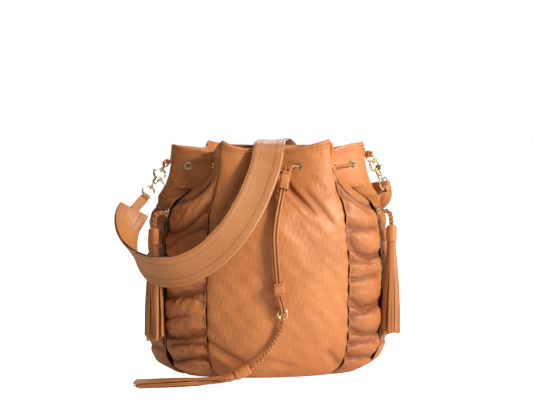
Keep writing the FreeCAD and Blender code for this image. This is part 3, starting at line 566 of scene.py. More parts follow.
def ruchedShape(creases, seed, seamFirst, puff=0.0088, climb=0.026):
    def shape(turn, z, u, v):
        across = u if seamFirst else 1.0 - u
        valley = creaseField(across, z + 0.0022 * wander(across * 1.5, v * 2.0, seed), creases)
        bulge = np.sin(np.pi * np.clip(across * 0.94 + 0.03, 0, 1)) ** 0.45
        ends = rise(0.0, 0.016, z) * (1 - 0.6 * rise(0.226, 0.240, z))
        body = puff * bulge * (0.45 + 0.55 * ends)
        fine = 0.0021 * pleats(z, seed + 3) * np.exp(-across / 0.20) * rise(0.0, 0.05, across)
        fine += 0.0012 * pleats(z * 1.2, seed + 4) * np.exp(-(1 - across) / 0.14)
        soft = 0.0009 * wander(across * 2.0, v * 7.0, seed + 5) + 0.0004 * wander(across * 7, v * 21, seed + 6)
        valley = np.minimum(valley, body + 0.0012)
        out = body - valley - fine + soft * bulge - 0.0006
        lift = climb * (1 - across) ** 1.8 * rise(0.150, 0.2405, z)
        # painted shade: darker along the valleys, in the fine gathers and next to the seam
        paintedShade = valley / 0.0062 + fine / 0.0030 + 0.4 * np.exp(-across / 0.03)
        return np.clip(out, -0.0014, 0.0105), lift, paintedShade
    return shape


zipNear, zipFar = bagShape["zipTurn"] - bagShape["zipHalf"], bagShape["zipTurn"] + bagShape["zipHalf"]
top = bagShape["sideTop"]
for side, sign in (("right", 1), ("left", -1)):
    turns = sorted((sign * turnF, sign * zipNear))
    shellPanel(f"{side}FrontRuched", turns, (0.0004, top + 0.0005), (84, 290),
               ruchedShape(ruching[f"{side}_front"], 31 + sign, sign > 0), finish["ruched"],
               [f"{side}_front_ruched_panel"])
    turns = sorted((sign * (180 - turnF), sign * (180 - bagShape["zipTurn"])))
    shellPanel(f"{side}RearRuched", turns, (0.0004, top + 0.0005), (84, 290),
               ruchedShape(ruching[f"{side}_rear"], 41 + sign, sign < 0), finish["ruched"],
               [f"{side}_rear_ruched_panel"])
    turns = sorted((sign * zipFar, sign * (180 - bagShape["zipTurn"])))
    shellPanel(f"{side}GussetLeather", turns, (0.0004, top + 0.0005), (90, 240),
               ruchedShape(gussetFolds, 51 + sign, sign > 0, 0.0042, 0.0), finish["ruched"],
               [f"{side}_gusset"])
print("ruched sides laid")

# collars, rim facing, lining and base


def collarShape(seed):
    def shape(turn, z, u, v):
        side = np.minimum(u, 1 - u) * 110.0
        edge = -0.0010 * np.exp(-side / 0.8)
        soft = 0.0012 * wander(u * 4, v * 1.2, seed) + 0.0004 * wander(u * 14, v * 4, seed + 1)
        lip = 0.0016 * np.exp(-((z - 0.2405) / 0.0020) ** 2)
        tucks = 0.0011 * pleats(u * 0.22, seed) * np.exp(-(z - 0.240) / 0.008)
        # painted shade: darker along the hem, in the tucks and at both side edges
        paintedShade = hemShade(z) + tucks / 0.0022 + 0.4 * np.exp(-side / 0.5)
        return edge + soft * calmAt(z) + hemAt(z) + lip - tucks, 0.0, paintedShade
    return shape


def plainShape(out, seed, size=0.0005):
    def shape(turn, z, u, v):
        return out + size * wander(u * 9, v * 5, seed), 0.0, np.zeros_like(z)
    return shape


def liningShape(turn, z, u, v):
    out = -0.0030 - 0.0085 * (1 - rise(0.222, 0.250, z)) + 0.0008 * wander(u * 9, v * 5, 73)
    return out, 0.0, np.zeros_like(z)


for side, sign in (("right", 1), ("left", -1)):
    turns = sorted((sign * turnF, sign * (180 - turnF)))
    shellPanel(f"{side}CollarLeather", turns, (top - 0.0005, bagShape["rim"]), (170, 56), collarShape(61 + sign),
               finish["body"], [f"{side}_collar"], holes=True)
shellPanel("rimFacing", (-180, 180), (bagShape["facingLow"], bagShape["rim"] - 0.0004), (420, 44),
           plainShape(-0.0021, 71, 0.0003),
           finish["body"], ["rim_facing"], thick=0.0008, holes=True)
shellPanel("bagLining", (-180, 180), (0.0072, 0.2518), (240, 150), liningShape,
           finish["lining"], ["lining"], thick=0.0006)


def basePiece():
    bpy.ops.object.select_all(action="DESELECT")
    bpy.ops.mesh.primitive_circle_add(vertices=120, radius=1.0, fill_type="NGON", location=(0, 0, 0))
    piece = bpy.context.active_object
    piece.name = piece.data.name = "baseLeather"
    for vertex in piece.data.vertices:
        angle = math.atan2(vertex.co.x, -vertex.co.y)
        vertex.co = (0.1228 * math.sin(angle), -0.0698 * math.cos(angle), 0.0003)
    bpy.ops.object.mode_set(mode="EDIT")
    bpy.ops.mesh.select_all(action="SELECT")
    bpy.ops.mesh.inset(thickness=0.004, depth=0.0)
    bpy.ops.mesh.inset(thickness=0.0025, depth=0.0007)
    bpy.ops.mesh.inset(thickness=0.012, depth=0.0)
    bpy.ops.mesh.select_all(action="SELECT")
    bpy.ops.mesh.normals_make_consistent(inside=False)
    bpy.ops.object.mode_set(mode="OBJECT")
    wall = piece.modifiers.new("wall", "SOLIDIFY")
    wall.thickness = 0.0024
    wall.offset = 0.0
    applyModifiers(piece)
    low = min(v.co.z for v in piece.data.vertices)
    for vertex in piece.data.vertices:
        vertex.co.z -= low - 0.0002
    return finishPiece(piece, finish["body"], "bag", ["base_panel"], smooth=False)


basePiece()
print("collars, facing, lining and base laid")

# swept pieces: strap, barrels and strips


# A profile of (across, out) points carried along a line of frames.
def sweptPiece(name, middles, widths, faces, profile, capped=True):
    count, ring = len(middles), np.array(profile).shape[-2]
    piece, u, v = gridPiece(name, ring, count - 1)
    column = np.rint(u * ring).astype(int) % ring
    row = np.rint(v * (count - 1)).astype(int)
    shape = np.array(profile)
    if shape.ndim == 2:
        shape = np.repeat(shape[None], count, axis=0)
    picked = shape[row, column]
    points = middles[row] + widths[row] * picked[:, :1] + faces[row] * picked[:, 1:]
    layPoints(piece, points)
    bpy.context.view_layer.objects.active = piece
    piece.select_set(True)
    bpy.ops.object.mode_set(mode="EDIT")
    bpy.ops.mesh.select_all(action="SELECT")
    bpy.ops.mesh.remove_doubles(threshold=0.000002)
    if capped:
        bpy.ops.mesh.select_all(action="DESELECT")
        bpy.ops.mesh.select_mode(type="EDGE")
        bpy.ops.mesh.select_non_manifold(extend=False, use_wire=False, use_multi_face=False,
                                         use_non_contiguous=False, use_verts=False)
        bpy.ops.mesh.fill_holes(sides=0)
    bpy.ops.mesh.select_all(action="SELECT")
    bpy.ops.mesh.normals_make_consistent(inside=False)
    bpy.ops.object.mode_set(mode="OBJECT")
    piece.select_set(False)
    return piece


# An even, smooth run of points through the given ones.
def lengthAlong(line):
    return np.concatenate([[0], np.cumsum(np.linalg.norm(np.diff(line[:, :3], axis=0), axis=1))])


def readAt(want, gone, rows):
    return np.stack([np.interp(want, gone, rows[:, i]) for i in range(rows.shape[1])], axis=1)


def smoothLine(stations, samples):
    stations = np.array(stations, float)
    padded = np.vstack([2 * stations[0] - stations[1], stations, 2 * stations[-1] - stations[-2]])
    fine = []
    for k in range(len(stations) - 1):
        p0, p1, p2, p3 = padded[k:k + 4]
        for t in np.linspace(0, 1, 24, endpoint=False):
            fine.append(0.5 * (2 * p1 + (p2 - p0) * t + (2 * p0 - 5 * p1 + 4 * p2 - p3) * t**2
                               + (3 * p1 - p0 - 3 * p2 + p3) * t**3))
    fine.append(stations[-1])
    fine = np.array(fine)
    gone = lengthAlong(fine)
    want = np.linspace(0, gone[-1], samples)
    return readAt(want, gone, fine), gone[-1]


def evenly(axis, count):
    return np.repeat(axis[None], count, 0)


def unit(rows):
    return rows / np.linalg.norm(rows, axis=-1, keepdims=True)


def framesAlong(middles, looks):
    along = unit(np.gradient(middles, axis=0))
    faces = unit(looks - along * (looks * along).sum(1, keepdims=True))
    return along, unit(np.cross(faces, along)), faces


# One small piece, modelled once, copied to every place and joined.
def mergedCopies(name, base, places, axesX, axesY, axesZ):
    baseCo = np.array([v.co[:] for v in base.data.vertices])
    basePolys = [tuple(p.vertices) for p in base.data.polygons]
    count = len(places)
    points = (places[:, None] + baseCo[None, :, :1] * axesX[:, None] + baseCo[None, :, 1:2] * axesY[:, None]
              + baseCo[None, :, 2:] * axesZ[:, None]).reshape(-1, 3)
    polys = [tuple(i + k * len(baseCo) for i in poly) for k in range(count) for poly in basePolys]
    mesh = bpy.data.meshes.new(name)
    mesh.from_pydata(points.tolist(), [], polys)
    mesh.update()
    piece = bpy.data.objects.new(name, mesh)
    bpy.context.scene.collection.objects.link(piece)
    return piece


# One stitch: a short plump thread whose ends dip into the leather.
def stitchPattern(long, wide):
    bpy.ops.object.select_all(action="DESELECT")
    bpy.ops.mesh.primitive_uv_sphere_add(segments=6, ring_count=5, radius=1.0)
    stitch = bpy.context.active_object
    bpy.ops.object.mode_set(mode="EDIT")
    bpy.ops.mesh.select_all(action="SELECT")
    bpy.ops.transform.resize(value=(wide / 2, wide / 2, long / 2))
    bpy.ops.object.mode_set(mode="OBJECT")
    for vertex in stitch.data.vertices:
        vertex.co.y -= 0.35 * wide * (abs(vertex.co.z) / (long / 2)) ** 2
    return stitch


stitchSize = {"pitch": 0.0034, "long": 0.0026, "wide": 0.0008}
stitchPiece = stitchPattern(stitchSize["long"], stitchSize["wide"])
stitchRuns = []


# Lays stitches along a line, out on the side it faces.
def stitchRun(line, outward, pitch=None):
    pitch = pitch or stitchSize["pitch"]
    gone = lengthAlong(line)
    want = np.arange(pitch / 2, gone[-1], pitch)
    places = readAt(want, gone, line)
    out = unit(readAt(want, gone, outward))
    tangent = unit(np.gradient(line, axis=0))
    along = readAt(want, gone, tangent)
    along = unit(along - out * (along * out).sum(1, keepdims=True))
    stitchRuns.append((places, np.cross(out, along), out, along))


# Joins the stitches laid so far into one piece.
def sewAll(name, body):
    stacked = [np.concatenate([run[i] for run in stitchRuns]) for i in range(4)]
    piece = mergedCopies(name, stitchPiece, *stacked)
    stitchRuns.clear()
    return finishPiece(piece, finish["thread"], body)


# strap

strap = {
    "width": 0.040, "samples": 420,
    # middle of the strap and the way its outer face looks, from the right end to the left
    "path": [
        (0.158, 0.034, 0.23, None), (0.152, 0.06, 0.219, (0.9, 0.35, 0.2)),
        (0.136, 0.088, 0.214, (0.75, 0.65, 0.1)), (0.11, 0.11, 0.219, (0.4, 0.9, 0.0)),
        (0.082, 0.116, 0.236, (0.1, 1.0, 0.1)), (0.056, 0.11, 0.259, (0.0, 0.95, 0.3)),
        (0.036, 0.094, 0.281, (0.0, 0.75, 0.65)), (0.02, 0.068, 0.2965, (0.0, 0.3, 0.95)),
        (0.008, 0.03, 0.2975, (0.0, 0.0, 1.0)), (0., -0.012, 0.297, (0.0, -0.05, 1.0)),
        (-0.006, -0.05, 0.2975, (0.0, -0.15, 1.0)), (-0.0105, -0.0715, 0.2905, (0.0, -0.75, 0.65)),
        (-0.016, -0.082, 0.271, (0.0, -0.97, 0.2)), (-0.026, -0.092, 0.247, (0.0, -1.0, 0.2)),
        (-0.041, -0.105, 0.219, (0.0, -1.0, 0.25)), (-0.064, -0.115, 0.187, (0.0, -1.0, 0.15)),
        (-0.094, -0.12, 0.16, (0.0, -1.0, 0.0)), (-0.127, -0.119, 0.145, (-0.12, -0.98, -0.12)),
        (-0.155, -0.11, 0.144, (-0.35, -0.85, -0.35)), (-0.175, -0.094, 0.154, (-0.62, -0.48, -0.62)),
        (-0.186, -0.075, 0.171, (-0.70, 0.0, -0.70)), (-0.188, -0.056, 0.193, (-0.66, 0.35, -0.62)),
        (-0.178, -0.041, 0.214, None),
    ],
    "leftWay": (-0.5014, -0.4613, -0.7320), "leftAcross": (0.8240, 0.0035, -0.5666),
    "rightWay": (0.5010, 0.3006, -0.8116), "rightAcross": (0.6499, 0.4886, 0.5821),
}


def strapFrames():
    middles = np.array([p[:3] for p in strap["path"]])
    faces = []
    for k, (x, y, z, look) in enumerate(strap["path"]):
        along = unit(middles[min(k + 1, len(middles) - 1)] - middles[max(k - 1, 0)])
        if look is None:
            key = "right" if k == 0 else "left"
            way, wide = unit(np.array(strap[key + "Way"])), np.array(strap[key + "Across"])
            wide = unit(wide - way * (wide @ way))
            if k == 0:
                wide = -wide
        else:
            wide = np.cross(np.array(look), along)
        wide = unit(wide - along * (wide @ along))
        faces.append(np.cross(along, wide))
    both, long = smoothLine(np.hstack([middles, np.array(faces)]), strap["samples"])
    along, widths, looks = framesAlong(both[:, :3], both[:, 3:])
    return both[:, :3], widths, looks, along, long


# Two layers of leather, thin in the middle field and padded along both edges.
def strapProfile():
    half = strap["width"] / 2
    outer = [(-half, 0.0), (-half + 0.0002, 0.0011), (-half + 0.0010, 0.00165), (-0.0150, 0.00185),
             (-0.0120, 0.00180), (-0.0100, 0.00150), (-0.0070, 0.00125), (0.0, 0.00130)]
    right = [(-x, y) for x, y in outer[-2::-1]]
    upper = outer + right
    under = [(x, -y * 0.92) for x, y in upper[-2:0:-1]]
    return upper + under


def makeStrap():
    middles, widths, looks, along, long = strapFrames()
    profile = strapProfile()
    piece = sweptPiece("strapLeather", middles, widths, looks, profile)
    finishPiece(piece, [finish["strap"], finish["edge"]], "bag", ["strap"])
    half = strap["width"] / 2
    for polygon in piece.data.polygons:
        centre = np.array(polygon.center)
        near = int(np.argmin(((middles - centre) ** 2).sum(1)))
        if abs((centre - middles[near]) @ widths[near]) > half - 0.0006:
            polygon.material_index = 1
    rows = [(-0.0162, 0.00196), (-0.0095, 0.00158), (0.0095, 0.00158), (0.0164, 0.00196)]
    for side in (1, -1):
        for x, y in rows:
            lift = y if side > 0 else -y * 0.93
            stitchRun(middles + widths * x + looks * lift, looks * side)
    sewAll("strapStitches", "bag")
    print("strap laid, mm long:", round(long * 1000))


makeStrap()

# rim and seam stitches


def skinRun(turns, z, out):
    line = skin(turns, np.full(len(turns), z), out)
    line[:, 2] += rimLift(turns, np.full(len(turns), z))
    flat = skin(turns, np.full(len(turns), z), out + 0.01) - skin(turns, np.full(len(turns), z), out)
    return line, unit(flat)


for low, high in ((-34.0, 34.0), (36.0, 144.0), (146.0, 214.0), (-144.0, -36.0)):
    turns = np.linspace(low, high, 160)
    line, flat = skinRun(turns, 0.2878, 0.0)
    push = 0.0021 if abs(low) in (34.0, 146.0) else 0.0008
    stitchRun(line + flat * push, flat)
sewAll("rimStitches", "bag")


# drawstring, laced through the eyelets, and its two hanging ends

cord = {"dia": 0.0036, "out": 0.0033, "in": -0.00595, "near": 0.0075}
hang = {
    "cinchTop": (0.013, -0.074, 0.268), "firstBend": (-0.003, -0.0995, 0.214),
    "ring": (0.002, -0.107, 0.087), "keeperTop": (-0.0039, -0.107, 0.126), "step": 0.00195,
}
cinchTop, firstBend = np.array(hang["cinchTop"]), np.array(hang["firstBend"])
cinchWay = unit(firstBend - cinchTop)
ringMiddle, keeperTop = np.array(hang["ring"]), np.array(hang["keeperTop"])


# A smooth round cord along given points.
def nurbsLine(name, points, radius, material, body, stands=()):
    curve = bpy.data.curves.new(name, "CURVE")
    curve.dimensions = "3D"
    spline = curve.splines.new("NURBS")
    spline.points.add(len(points) - 1)
    for point, place in zip(spline.points, points):
        point.co = (*place, 1.0)
    spline.order_u = 3
    spline.use_endpoint_u = True
    spline.resolution_u = 10
    curve.bevel_depth = radius
    curve.bevel_resolution = 3
    curve.use_fill_caps = True
    piece = bpy.data.objects.new(name, curve)
    bpy.context.scene.collection.objects.link(piece)
    piece.data.materials.append(material)
    if body:
        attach(piece, body)
        if stands:
            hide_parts(*stands)
    return piece


# Even points along the smooth line that the chosen points give.
def lineOf(points, samples=None):
    piece = nurbsLine("routeGuide", points, 0.0, finish["cord"], None)
    piece.data.resolution_u = 24
    piece.data.splines[0].resolution_u = 24
    bpy.context.view_layer.update()
    piece.data.bevel_depth = 0.0
    mesh = bpy.data.meshes.new_from_object(piece)
    line = np.array([v.co[:] for v in mesh.vertices])
    bpy.data.meshes.remove(mesh)
    bpy.data.objects.remove(piece)
    gone = lengthAlong(line)
    want = np.linspace(0, gone[-1], samples or len(line))
    return readAt(want, gone, line), gone[-1]


def lacingCorner(turn, outside):
    place, outward, _ = eyeletSpot(turn)
    return place + outward * (cord["out"] if outside else cord["in"])


def strandTop(side):
    return cinchTop - cinchWay * 0.003 + np.array((side * hang["step"], -hang["step"], 0))


def stringStart(side):
    corner = lacingCorner(side * 15.0, True)
    return corner + (strandTop(side) - corner) * 0.45


# Outside over each dip of the rim and inside behind each swell.
def lacingRoute():
    corners = []
    outside = True
    for turn in eyeletTurns:
        corners += [lacingCorner(turn, outside), lacingCorner(turn, not outside)]
        outside = not outside
    route = [stringStart(1)]
    for k, corner in enumerate(corners):
        before = corners[k - 1] if k else route[0]
        after = corners[k + 1] if k + 1 < len(corners) else stringStart(-1)
        if np.linalg.norm(before - corner) > 0.015:
            route.append(corner + unit(before - corner) * cord["near"])
        route.append(corner)
        if np.linalg.norm(after - corner) > 0.015:
            route.append(corner + unit(after - corner) * cord["near"])
    return route + [stringStart(-1)]


def strandRoute(side):
    step = hang["step"]

    def strand(layer):
        aside = np.array((side * step, layer * step, 0))
        spread = np.array((0, layer * 0.0013, 0))
        return [cinchTop + aside, firstBend + aside, np.array((-0.008, -0.106, 0.184)) + aside,
                np.array((-0.006, -0.107, 0.154)) + aside, keeperTop + (-0.0006, 0, 0.007) + aside,
                keeperTop + (0.0016, 0, -0.020) + aside, ringMiddle + (0, 0, 0.008) + aside + spread]
    down, up = strand(-1), strand(1)
    bottom = ringMiddle + np.array((side * step, 0, 0.0012))
    foot = [bottom + (0, -step - 0.0013, 0), bottom + (0, step + 0.0013, 0)]
    return [stringStart(side), strandTop(side)] + down[1:] + foot + up[::-1]


nurbsLine("drawstringCord", lacingRoute(), cord["dia"] / 2, finish["cord"], "bag", ["drawstring"])
for side, sign in (("right", 1), ("left", -1)):
    route = strandRoute(sign)
    piece = nurbsLine(f"{side}StringCord", route, cord["dia"] / 2, finish["cord"], "bag", [f"{side}_string_end"])
    long = lineOf(route, 400)[1]
    print(side, "string end, mm long:", round(long * 1000))


# cinch and keeper: stitched leather barrels round the strands


# A rounded square, out to its wall.
def barrelProfile(half, wall, corner):
    points = []
    reach = half + wall
    for k in range(4):
        turn = math.radians(45 + 90 * k)
        arm = reach - corner
        centre = (math.copysign(arm, math.cos(turn)), math.copysign(arm, math.sin(turn)))
        for i in range(5):
            a = turn - math.pi / 4 + math.pi / 2 * i / 4
            points.append((centre[0] + corner * math.cos(a), centre[1] + corner * math.sin(a)))
    return np.array(points)


barrels = {
    "cinch": {"top": cinchTop + cinchWay * 0.008, "way": cinchWay, "long": 0.024, "wall": 0.0016},
    "keeper": {"top": keeperTop, "way": unit(np.array((0.0022, 0.0, -0.027))), "long": 0.016, "wall": 0.0022},
}


def makeBarrel(name, body):
    facts = barrels[name]
    half = 0.0042
    # down the outside, round each lip and up the inside
    steps = []
    for along, grow in ((0.04, -0.0007), (0.0, -0.0003), (0.03, 0.0), (0.10, 0.0002), (0.14, -0.00035),
                        (0.18, 0.0001), (0.5, 0.0002), (0.82, 0.0001), (0.86, -0.00035), (0.90, 0.0002),
                        (0.97, 0.0), (1.0, -0.0003), (0.96, -0.0007)):
        steps.append((along, facts["wall"] + grow))
    steps = [(0.04, 0.0001)] + steps + [(0.96, 0.0001), (0.04, 0.0001)]
    way = facts["way"]
    xAxis = unit(np.array((1.0, 0, 0)) - way * way[0])
    yAxis = np.cross(way, xAxis)
    middles = np.array([facts["top"] + way * facts["long"] * a for a, _ in steps])
    profile = np.array([barrelProfile(half, w, 0.0019) for _, w in steps])
    count = len(steps)
    piece = sweptPiece(f"{name}Leather", middles, evenly(xAxis, count), evenly(yAxis, count),
                       profile, capped=False)
    finishPiece(piece, finish["body"], body, [name])
    face = -yAxis if yAxis[1] > 0 else yAxis
    front = facts["top"] + face * (half + facts["wall"] + 0.00025)
    reach = half + facts["wall"] - 0.0014
    for along in (0.14, 0.86):
        line = np.array([front + way * facts["long"] * along + xAxis * reach * t for t in np.linspace(-1, 1, 8)])
        stitchRun(line, evenly(face, 8), 0.0022)
    sewAll(f"{name}Stitches", body)


makeBarrel("cinch", "cinch")
makeBarrel("keeper", "bag")
print("cords, cinch and keeper laid")

# tassels: plaited cord, rolled cap and cut strips

tassel = {"braid": 0.006, "cap": 0.007, "capLong": 0.020, "strip": 0.0036, "stripThick": 0.0012, "long": 0.136}


# Strands that pass over and under each other along a line.
def plait(name, route, dia, body, stands, pitch=0.016, strands=3):
    line, long = lineOf(route, max(40, int(np.ptp(np.array(route), axis=0).sum() * 1400)))
    along = unit(np.gradient(line, axis=0))
    side = unit(np.cross(along, (0.13, 1.0, 0.21)))
    third = np.cross(side, along)
    gone = np.linspace(0, long, len(line))
    wires = []
    for k in range(strands):
        phase = 2 * math.pi * (gone / pitch + k / strands)
        swing = dia * 0.30 * np.sin(phase)
        depth = dia * 0.17 * np.sin(2 * phase)
        wires.append(line + side * swing[:, None] + third * depth[:, None])
    profile = [(dia * 0.21 * math.cos(a), dia * 0.17 * math.sin(a)) for a in np.linspace(0, 2 * math.pi, 10)[:-1]]
    made = []
    for k, wire in enumerate(wires):
        way = unit(np.gradient(wire, axis=0))
        face = unit(third - way * (third * way).sum(1, keepdims=True))
        made.append(sweptPiece(f"{name}{k}", wire, np.cross(face, way), face, profile))
    piece = joinPieces(name, made)
    finishPiece(piece, finish["cord"], body, stands)
    return piece, line, long


def joinPieces(name, made):
    bpy.ops.object.select_all(action="DESELECT")
    for each in made:
        each.select_set(True)
    bpy.context.view_layer.objects.active = made[0]
    bpy.ops.object.join()
    piece = bpy.context.active_object
    piece.name = piece.data.name = name
    piece.select_set(False)
    return piece


# A strip of leather rolled round the head of the fringe, turned in at both ends.
def capPiece(name, start, way, body, stands):
    radius, long = tassel["cap"], tassel["capLong"]
    steps = [(0.0, 0.30), (0.0, 0.62), (0.02, 0.84), (0.07, 0.955), (0.16, 0.985), (0.20, 0.945), (0.24, 0.99),
             (0.55, 1.0), (0.80, 0.99), (0.84, 0.95), (0.88, 0.995), (0.96, 0.99), (1.0, 0.95), (0.99, 0.88),
             (0.80, 0.86), (0.30, 0.84)]
    way = unit(np.array(way, float))
    guide = np.array((0, 1.0, 0)) if abs(way[1]) < 0.8 else np.array((1.0, 0, 0))
    side = unit(np.cross(guide, way))
    third = np.cross(way, side)
    middles = np.array([np.array(start) + way * long * a for a, _ in steps])
    ring = []
    for _, grow in steps:
        # the roll's free edge stands up as a small step
        angles = np.linspace(0, 2 * math.pi, 33)[:-1]
        step = 1.0 - 0.07 * angles / (2 * math.pi)
        ring.append(np.stack([radius * grow * step * np.cos(angles), radius * grow * step * np.sin(angles)], 1))
    count = len(steps)
    piece = sweptPiece(name, middles, evenly(side, count), evenly(third, count), np.array(ring))
    return finishPiece(piece, finish["body"], body, stands)


# One cut strip, following its own line.
def stripRun(name, line, look, width, thick):
    line, _ = smoothLine(np.hstack([line, look]), 26)
    _, widths, faces = framesAlong(line[:, :3], line[:, 3:])
    half, deep = width / 2, thick / 2
    profile = [(-half, -deep), (-half, deep), (-half * 0.5, deep * 1.25), (half * 0.5, deep * 1.25), (half, deep),
               (half, -deep)]
    return sweptPiece(name, line[:, :3], widths, faces, profile)


def hangingFringe(side, start, flat, body, stands):
    rng = np.random.default_rng(5 if side == "right" else 9)
    start = np.array(start)
    made = []
    across = np.cross((0, 0, 1.0), flat)
    for ring, (count, upper, spread) in enumerate(((15, 0.0048, 0.0165), (11, 0.0032, 0.0115), (7, 0.0014, 0.006))):
        for k in range(count):
            angle = 2 * math.pi * (k + 0.5 * ring) / count + rng.uniform(-0.12, 0.12)
            out = flat * math.cos(angle) + across * math.sin(angle)
            bend, curl = rng.uniform(-0.0022, 0.0022), rng.uniform(-0.0016, 0.0016)
            long = tassel["long"] - 0.002 - rng.uniform(0, 0.006)
            turn = np.cross((0, 0, 1.0), out)
            points = []
            for t, reach in ((0.0, upper), (0.12, upper * 1.02), (0.22, upper * 1.3),
                             (0.45, upper + (spread - upper) * 0.45), (0.72, upper + (spread - upper) * 0.78),
                             (1.0, spread)):
                sway = bend * math.sin(math.pi * t * 1.6) * t
                flatten = out * reach - flat * (out @ flat) * reach * 0.34 * t
                points.append(start + flatten + turn * sway + flat * curl * t + np.array((0, 0, -long * t)))
            look = evenly(out, len(points)) + turn * rng.uniform(-0.25, 0.25)
            made.append(stripRun(f"{side}Strip{ring}_{k}", np.array(points), unit(look), tassel["strip"],
                                 tassel["stripThick"]))
    piece = joinPieces(f"{side}TasselStrips", made)
    return finishPiece(piece, finish["cord"], body, stands, smooth=False)


zipArc = {"radius": 0.560, "middleZ": 0.1101, "reach": 0.149435, "polar": 1.273461, "low": 0.036, "high": 0.216,
          "slider": 0.209, "tape": 0.006}


def zipSpot(sign, z):
    flat = np.array((sign * math.sin(zipArc["polar"]), -math.cos(zipArc["polar"]), 0.0))
    lift = math.asin((z - zipArc["middleZ"]) / zipArc["radius"])
    middle = flat * (zipArc["reach"] - zipArc["radius"]) + np.array((0, 0, zipArc["middleZ"]))
    outward = flat * math.cos(lift) + np.array((0, 0, math.sin(lift)))
    upward = -flat * math.sin(lift) + np.array((0, 0, math.cos(lift)))
    return middle + outward * zipArc["radius"], outward, upward, flat


def sideTassel(side, sign):
    place, outward, upward, flat = zipSpot(sign, zipArc["slider"])
    bail = place + outward * 0.00305 - upward * 0.001
    eye = bail + outward * 0.0046
    topPoint = flat * (zipArc["reach"] + 0.0113) + np.array((0, 0, 0.1905))
    first = eye + outward * 0.0036
    third = topPoint + np.array((0, 0, 0.009)) - flat * 0.0008
    second = (first + third) / 2 + flat * 0.003 + np.array((0, 0, 0.002))
    plait(f"{side}PullPlait", [bail + outward * 0.0014, first, second, third, topPoint - (0, 0, 0.0006)],
          tassel["braid"], f"{side}_zip", [f"{side}_braid"])
    down = np.array((0, 0, -1.0))
    capPiece(f"{side}TasselHead", topPoint + down * 0.0004, down, f"{side}_tassel", [f"{side}_tassel_cap"])
    hangingFringe(side, topPoint + down * 0.0080, flat, f"{side}_tassel", [f"{side}_tassel_fringe"])


# Cloth tape up the opening, with a row of small metal teeth meeting in its middle.
def zipPiece(side, sign):
    heights = np.linspace(zipArc["low"] + 0.001, zipArc["high"] - 0.001, 90)
    spots = [zipSpot(sign, z) for z in heights]
    middles, outs = np.array([p[0] for p in spots]), np.array([p[1] for p in spots])
    along, widths, faces = framesAlong(middles, outs)
    half = zipArc["tape"] / 2
    tape = sweptPiece(f"{side}ZipTape", middles - faces * 0.0004, widths, faces,
                      [(-half, -0.0003), (-half, 0.0003), (half, 0.0003), (half, -0.0003)])
    finishPiece(tape, finish["tape"], "bag", [f"{side}_zip_chain"], smooth=False)
    bpy.ops.object.select_all(action="DESELECT")
    bpy.ops.mesh.primitive_cube_add(size=1.0)
    tooth = bpy.context.active_object
    bpy.ops.object.mode_set(mode="EDIT")
    bpy.ops.mesh.select_all(action="SELECT")
    bpy.ops.transform.resize(value=(0.0019, 0.0013, 0.0009))
    bpy.ops.mesh.bevel(offset=0.0002, segments=1)
    bpy.ops.object.mode_set(mode="OBJECT")
    pitch = 0.0014
    want = np.arange(0.0007, (zipArc["high"] - zipArc["low"]) - 0.002, pitch)
    gone = lengthAlong(middles)
    pick = [readAt(want, gone, rows) for rows in (middles, widths, faces, along)]
    offset = np.where(np.arange(len(want)) % 2 == 0, 0.0006, -0.0006)[:, None]
    teeth = mergedCopies(f"{side}ZipTeeth", tooth, pick[0] + pick[1] * offset + pick[2] * 0.0005, *pick[1:])
    bpy.data.objects.remove(tooth)
    finishPiece(teeth, finish["teeth"], "bag", smooth=False)


for side, sign in (("right", 1), ("left", -1)):
    sideTassel(side, sign)
    zipPiece(side, sign)

frontBraid = [(0.002, -0.107, 0.0755), (-0.0008, -0.107, 0.066), (-0.0085, -0.1065, 0.051), (-0.019, -0.106, 0.037),
              (-0.029, -0.105, 0.026), (-0.0375, -0.104, 0.0195)]
capWay = unit(np.array((-0.89, 0.04, -0.42)))
capStart = np.array(frontBraid[-1]) + capWay * 0.0012


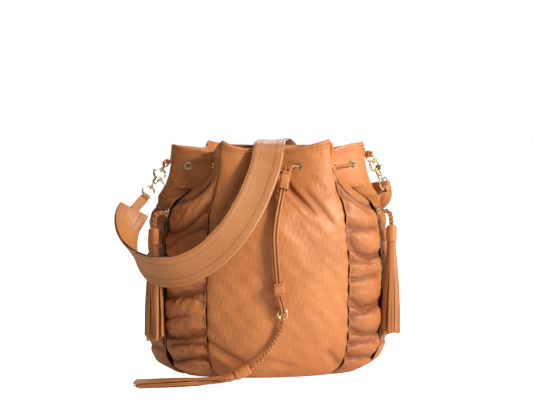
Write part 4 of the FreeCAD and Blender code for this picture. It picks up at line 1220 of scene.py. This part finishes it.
# Strips that leave the cap together and fan out over the floor.
def frontFringe():
    rng = np.random.default_rng(17)
    lip = capStart + capWay * (tassel["capLong"] + 0.001)
    made = []
    count = 24
    for k in range(count):
        angle = 2 * math.pi * k / count
        ring = 0.0044 if k % 2 else 0.0026
        begin = capStart + capWay * 0.006 + np.array((0, math.cos(angle), math.sin(angle))) * ring
        leave = lip + np.array((0, math.cos(angle), math.sin(angle))) * ring
        spread = (rng.permutation(count)[0] / (count - 1) - 0.5) * 2
        layer = k % 6
        low = 0.0009 + 0.00135 * layer
        endY = lip[1] + 0.003 + 0.0185 * spread
        wave = rng.uniform(-0.003, 0.003)
        long = tassel["long"] - 0.010 - rng.uniform(0, 0.008)
        points = [begin, leave,
                  np.array((lip[0] - 0.014, lip[1] + (leave[1] - lip[1]) * 1.5 + 0.15 * (endY - lip[1]),
                            max(low + 0.0012, leave[2] - 0.0035))),
                  np.array((lip[0] - 0.036, lip[1] + 0.42 * (endY - lip[1]) + wave, low + 0.0006)),
                  np.array((lip[0] - 0.068, lip[1] + 0.72 * (endY - lip[1]) - wave * 0.6, low)),
                  np.array((lip[0] - long, endY, low * 0.8 + 0.0002))]
        look = np.array([(0, math.cos(angle) * 0.8, math.sin(angle) + 0.2)] * 2
                        + [(0.0, rng.uniform(-0.3, 0.3), 1.0)] * 4)
        made.append(stripRun(f"frontStrip{k}", np.array(points), unit(look), tassel["strip"], tassel["stripThick"]))
    piece = joinPieces("frontTasselStrips", made)
    return finishPiece(piece, finish["cord"], "front_tassel", ["front_tassel_fringe"], smooth=False)


frontPlait, plaitLine, plaitLong = plait("frontPlait", frontBraid, tassel["braid"], "front_tassel", ["front_braid"])
frontCap = capPiece("frontTasselHead", capStart, capWay, "front_tassel", ["front_tassel_cap"])
frontFringe()
loopRoute = [(0.002, y, z) for y, z in ((-0.1082, 0.0745), (-0.1096, 0.0800), (-0.1070, 0.0846),
                                        (-0.1044, 0.0800), (-0.1058, 0.0745))]
plaitLoop = nurbsLine("frontPlaitLoop", loopRoute, 0.0011, finish["cord"], "front_tassel")
print("tassels laid, front plait mm long:", round(plaitLong * 1000))


# the small fittings come straight from the frame and only take a finish
def dress(name, material):
    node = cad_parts[name]
    node.data.materials.clear()
    node.data.materials.append(material)


for side in ("left", "right"):
    for name in ("zip_slider", "tab_ring", "strap_ring", "snap_hook", "snap_gate", "gate_pin", "swivel_eye"):
        dress(f"{side}_{name}", finish["gold"])
    dress(f"{side}_tab", finish["strap"])
    dress(f"strap_{side}_end", finish["strap"])
for name in ("eyelets", "front_ring"):
    dress(name, finish["gold"])
dress("base_board", finish["board"])
dress("lining_floor", finish["lining"])
print("fittings dressed")

bpy.data.objects.remove(stitchPiece)
